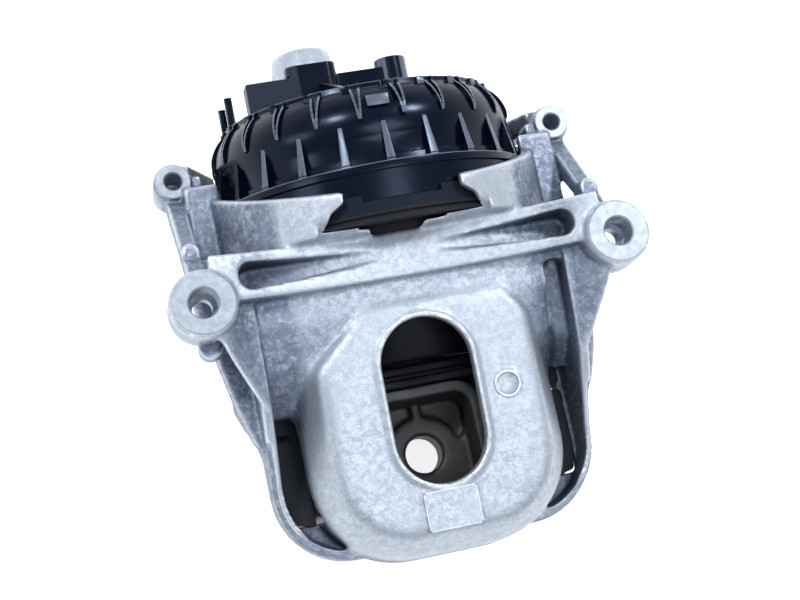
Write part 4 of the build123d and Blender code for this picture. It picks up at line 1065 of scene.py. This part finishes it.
def build_floor():
    """White floor that keeps the object's shadow."""
    half = FLOOR_HALF * MM
    signs = ((-1, -1), (1, -1), (1, 1), (-1, 1))
    mesh = bpy.data.meshes.new("floor")
    mesh.from_pydata([(a * half, b * half, FLOOR_Z * MM) for a, b in signs], [], [(0, 1, 2, 3)])
    floor = link_object("floor", mesh)
    m = Nodes("floor_white")
    m.shader.inputs["Base Color"].default_value = (*FLOOR_GREY, 1)
    m.shader.inputs["Roughness"].default_value = 0.9
    m.shader.inputs["Specular IOR Level"].default_value = 0.1
    glow = m.add("ShaderNodeEmission")
    glow.inputs["Color"].default_value = (*WHITE, 1)
    rays = m.add("ShaderNodeLightPath")
    seen = m.maths("MAXIMUM", rays.outputs["Is Camera Ray"], rays.outputs["Is Glossy Ray"])
    seen = m.maths("MAXIMUM", seen, rays.outputs["Is Transmission Ray"])
    m.link(m.maths("MULTIPLY", seen, FLOOR_GLOW), glow.inputs["Strength"])
    both = m.add("ShaderNodeAddShader")
    m.link(m.shader.outputs[0], both.inputs[0])
    m.link(glow.outputs[0], both.inputs[1])
    m.link(both.outputs[0], m.tree.nodes["Material Output"].inputs["Surface"])
    floor.data.materials.append(m.material)


def build_camera():
    """Camera at the photograph's place, with its roll."""
    camera = bpy.data.cameras.new("camera")
    camera.lens = CAMERA_LENS
    camera.sensor_width = 36
    place = Vector(CAMERA_PLACE)
    forward = (Vector(CAMERA_AIM) - place).normalized()
    right = forward.cross(Vector((0, 1, 0))).normalized()
    turn = Matrix.Rotation(math.radians(CAMERA_ROLL), 3, -forward)
    right = turn @ right
    up = right.cross(forward)
    axes = Matrix((right, up, -forward)).transposed().to_4x4()
    camera.clip_start = 0.01
    obj = link_object("camera", camera)
    obj.matrix_world = Matrix.Translation(place * MM) @ axes
    scene.camera = obj


build_camera()
build_world()
build_floor()
for settings in LAMPS:
    add_light(*settings)

aluminium = cast_aluminium()
machined = machined_aluminium()
cap_black = gloss_plastic("cap_black", (0.0008, 0.0020, 0.009), 0.20, 0.25, 0.32)
# Paler plastic for the cap's rib faces and narrow edges: painted highlight
cap_painted_highlight = gloss_plastic("cap_painted_highlight", (0.120, 0.138, 0.175), 0.24, 0.34, 0.8)
block_black = gloss_plastic("block_black", (0.0015, 0.0025, 0.008), 0.24, 0.32, 0.25)
connector_black = gloss_plastic("connector_black", (0.024, 0.029, 0.042), 0.34, 0.46, 0.3)
ring_black = gloss_plastic("ring_black", (0.009, 0.012, 0.020), 0.40, 0.52, 0.2)
black_rubber = rubber("black_rubber", (0.004, 0.005, 0.009))
grey_rubber = rubber("grey_rubber", (0.022, 0.025, 0.034))
core_metal = cast_core()
steel = turned_metal("ring_metal", (0.40, 0.40, 0.42))
plate_metal = turned_metal("plate_metal", (0.60, 0.61, 0.64))
brass = turned_metal("terminal_metal", (0.72, 0.60, 0.32))

make_housing(aluminium, machined)
make_cap(cap_black, cap_painted_highlight)
make_connector(connector_black, block_black)
make_copy("core", "core_casting", core_metal, 0.7, 5, 60000)
make_copy("rubber_spring", "rubber_cone", black_rubber, 0.9, 5, 30000)
make_copy("snubber", "snubber_pad", black_rubber, 0.45, 4, 40000)
make_buffer("side_buffer_left", "buffer_pad_left", -1, grey_rubber)
make_buffer("side_buffer_right", "buffer_pad_right", 1, grey_rubber)

# Pieces that are shown as the solids are
bare_pieces = {
    "spring_ring": steel,
    "clamp_ring": steel,
    "support_ring": ring_black,
    "seal_ring": black_rubber,
    "inner_channel_plate": plate_metal,
    "outer_channel_plate": plate_metal,
    "decoupler_membrane": black_rubber,
    "bellows": black_rubber,
    "actuator": steel,
    "actuator_seal": black_rubber,
    "terminal_1": brass,
    "terminal_2": brass,
}
for node, material in bare_pieces.items():
    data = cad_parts[node].data
    data.materials.clear()
    data.materials.append(material)
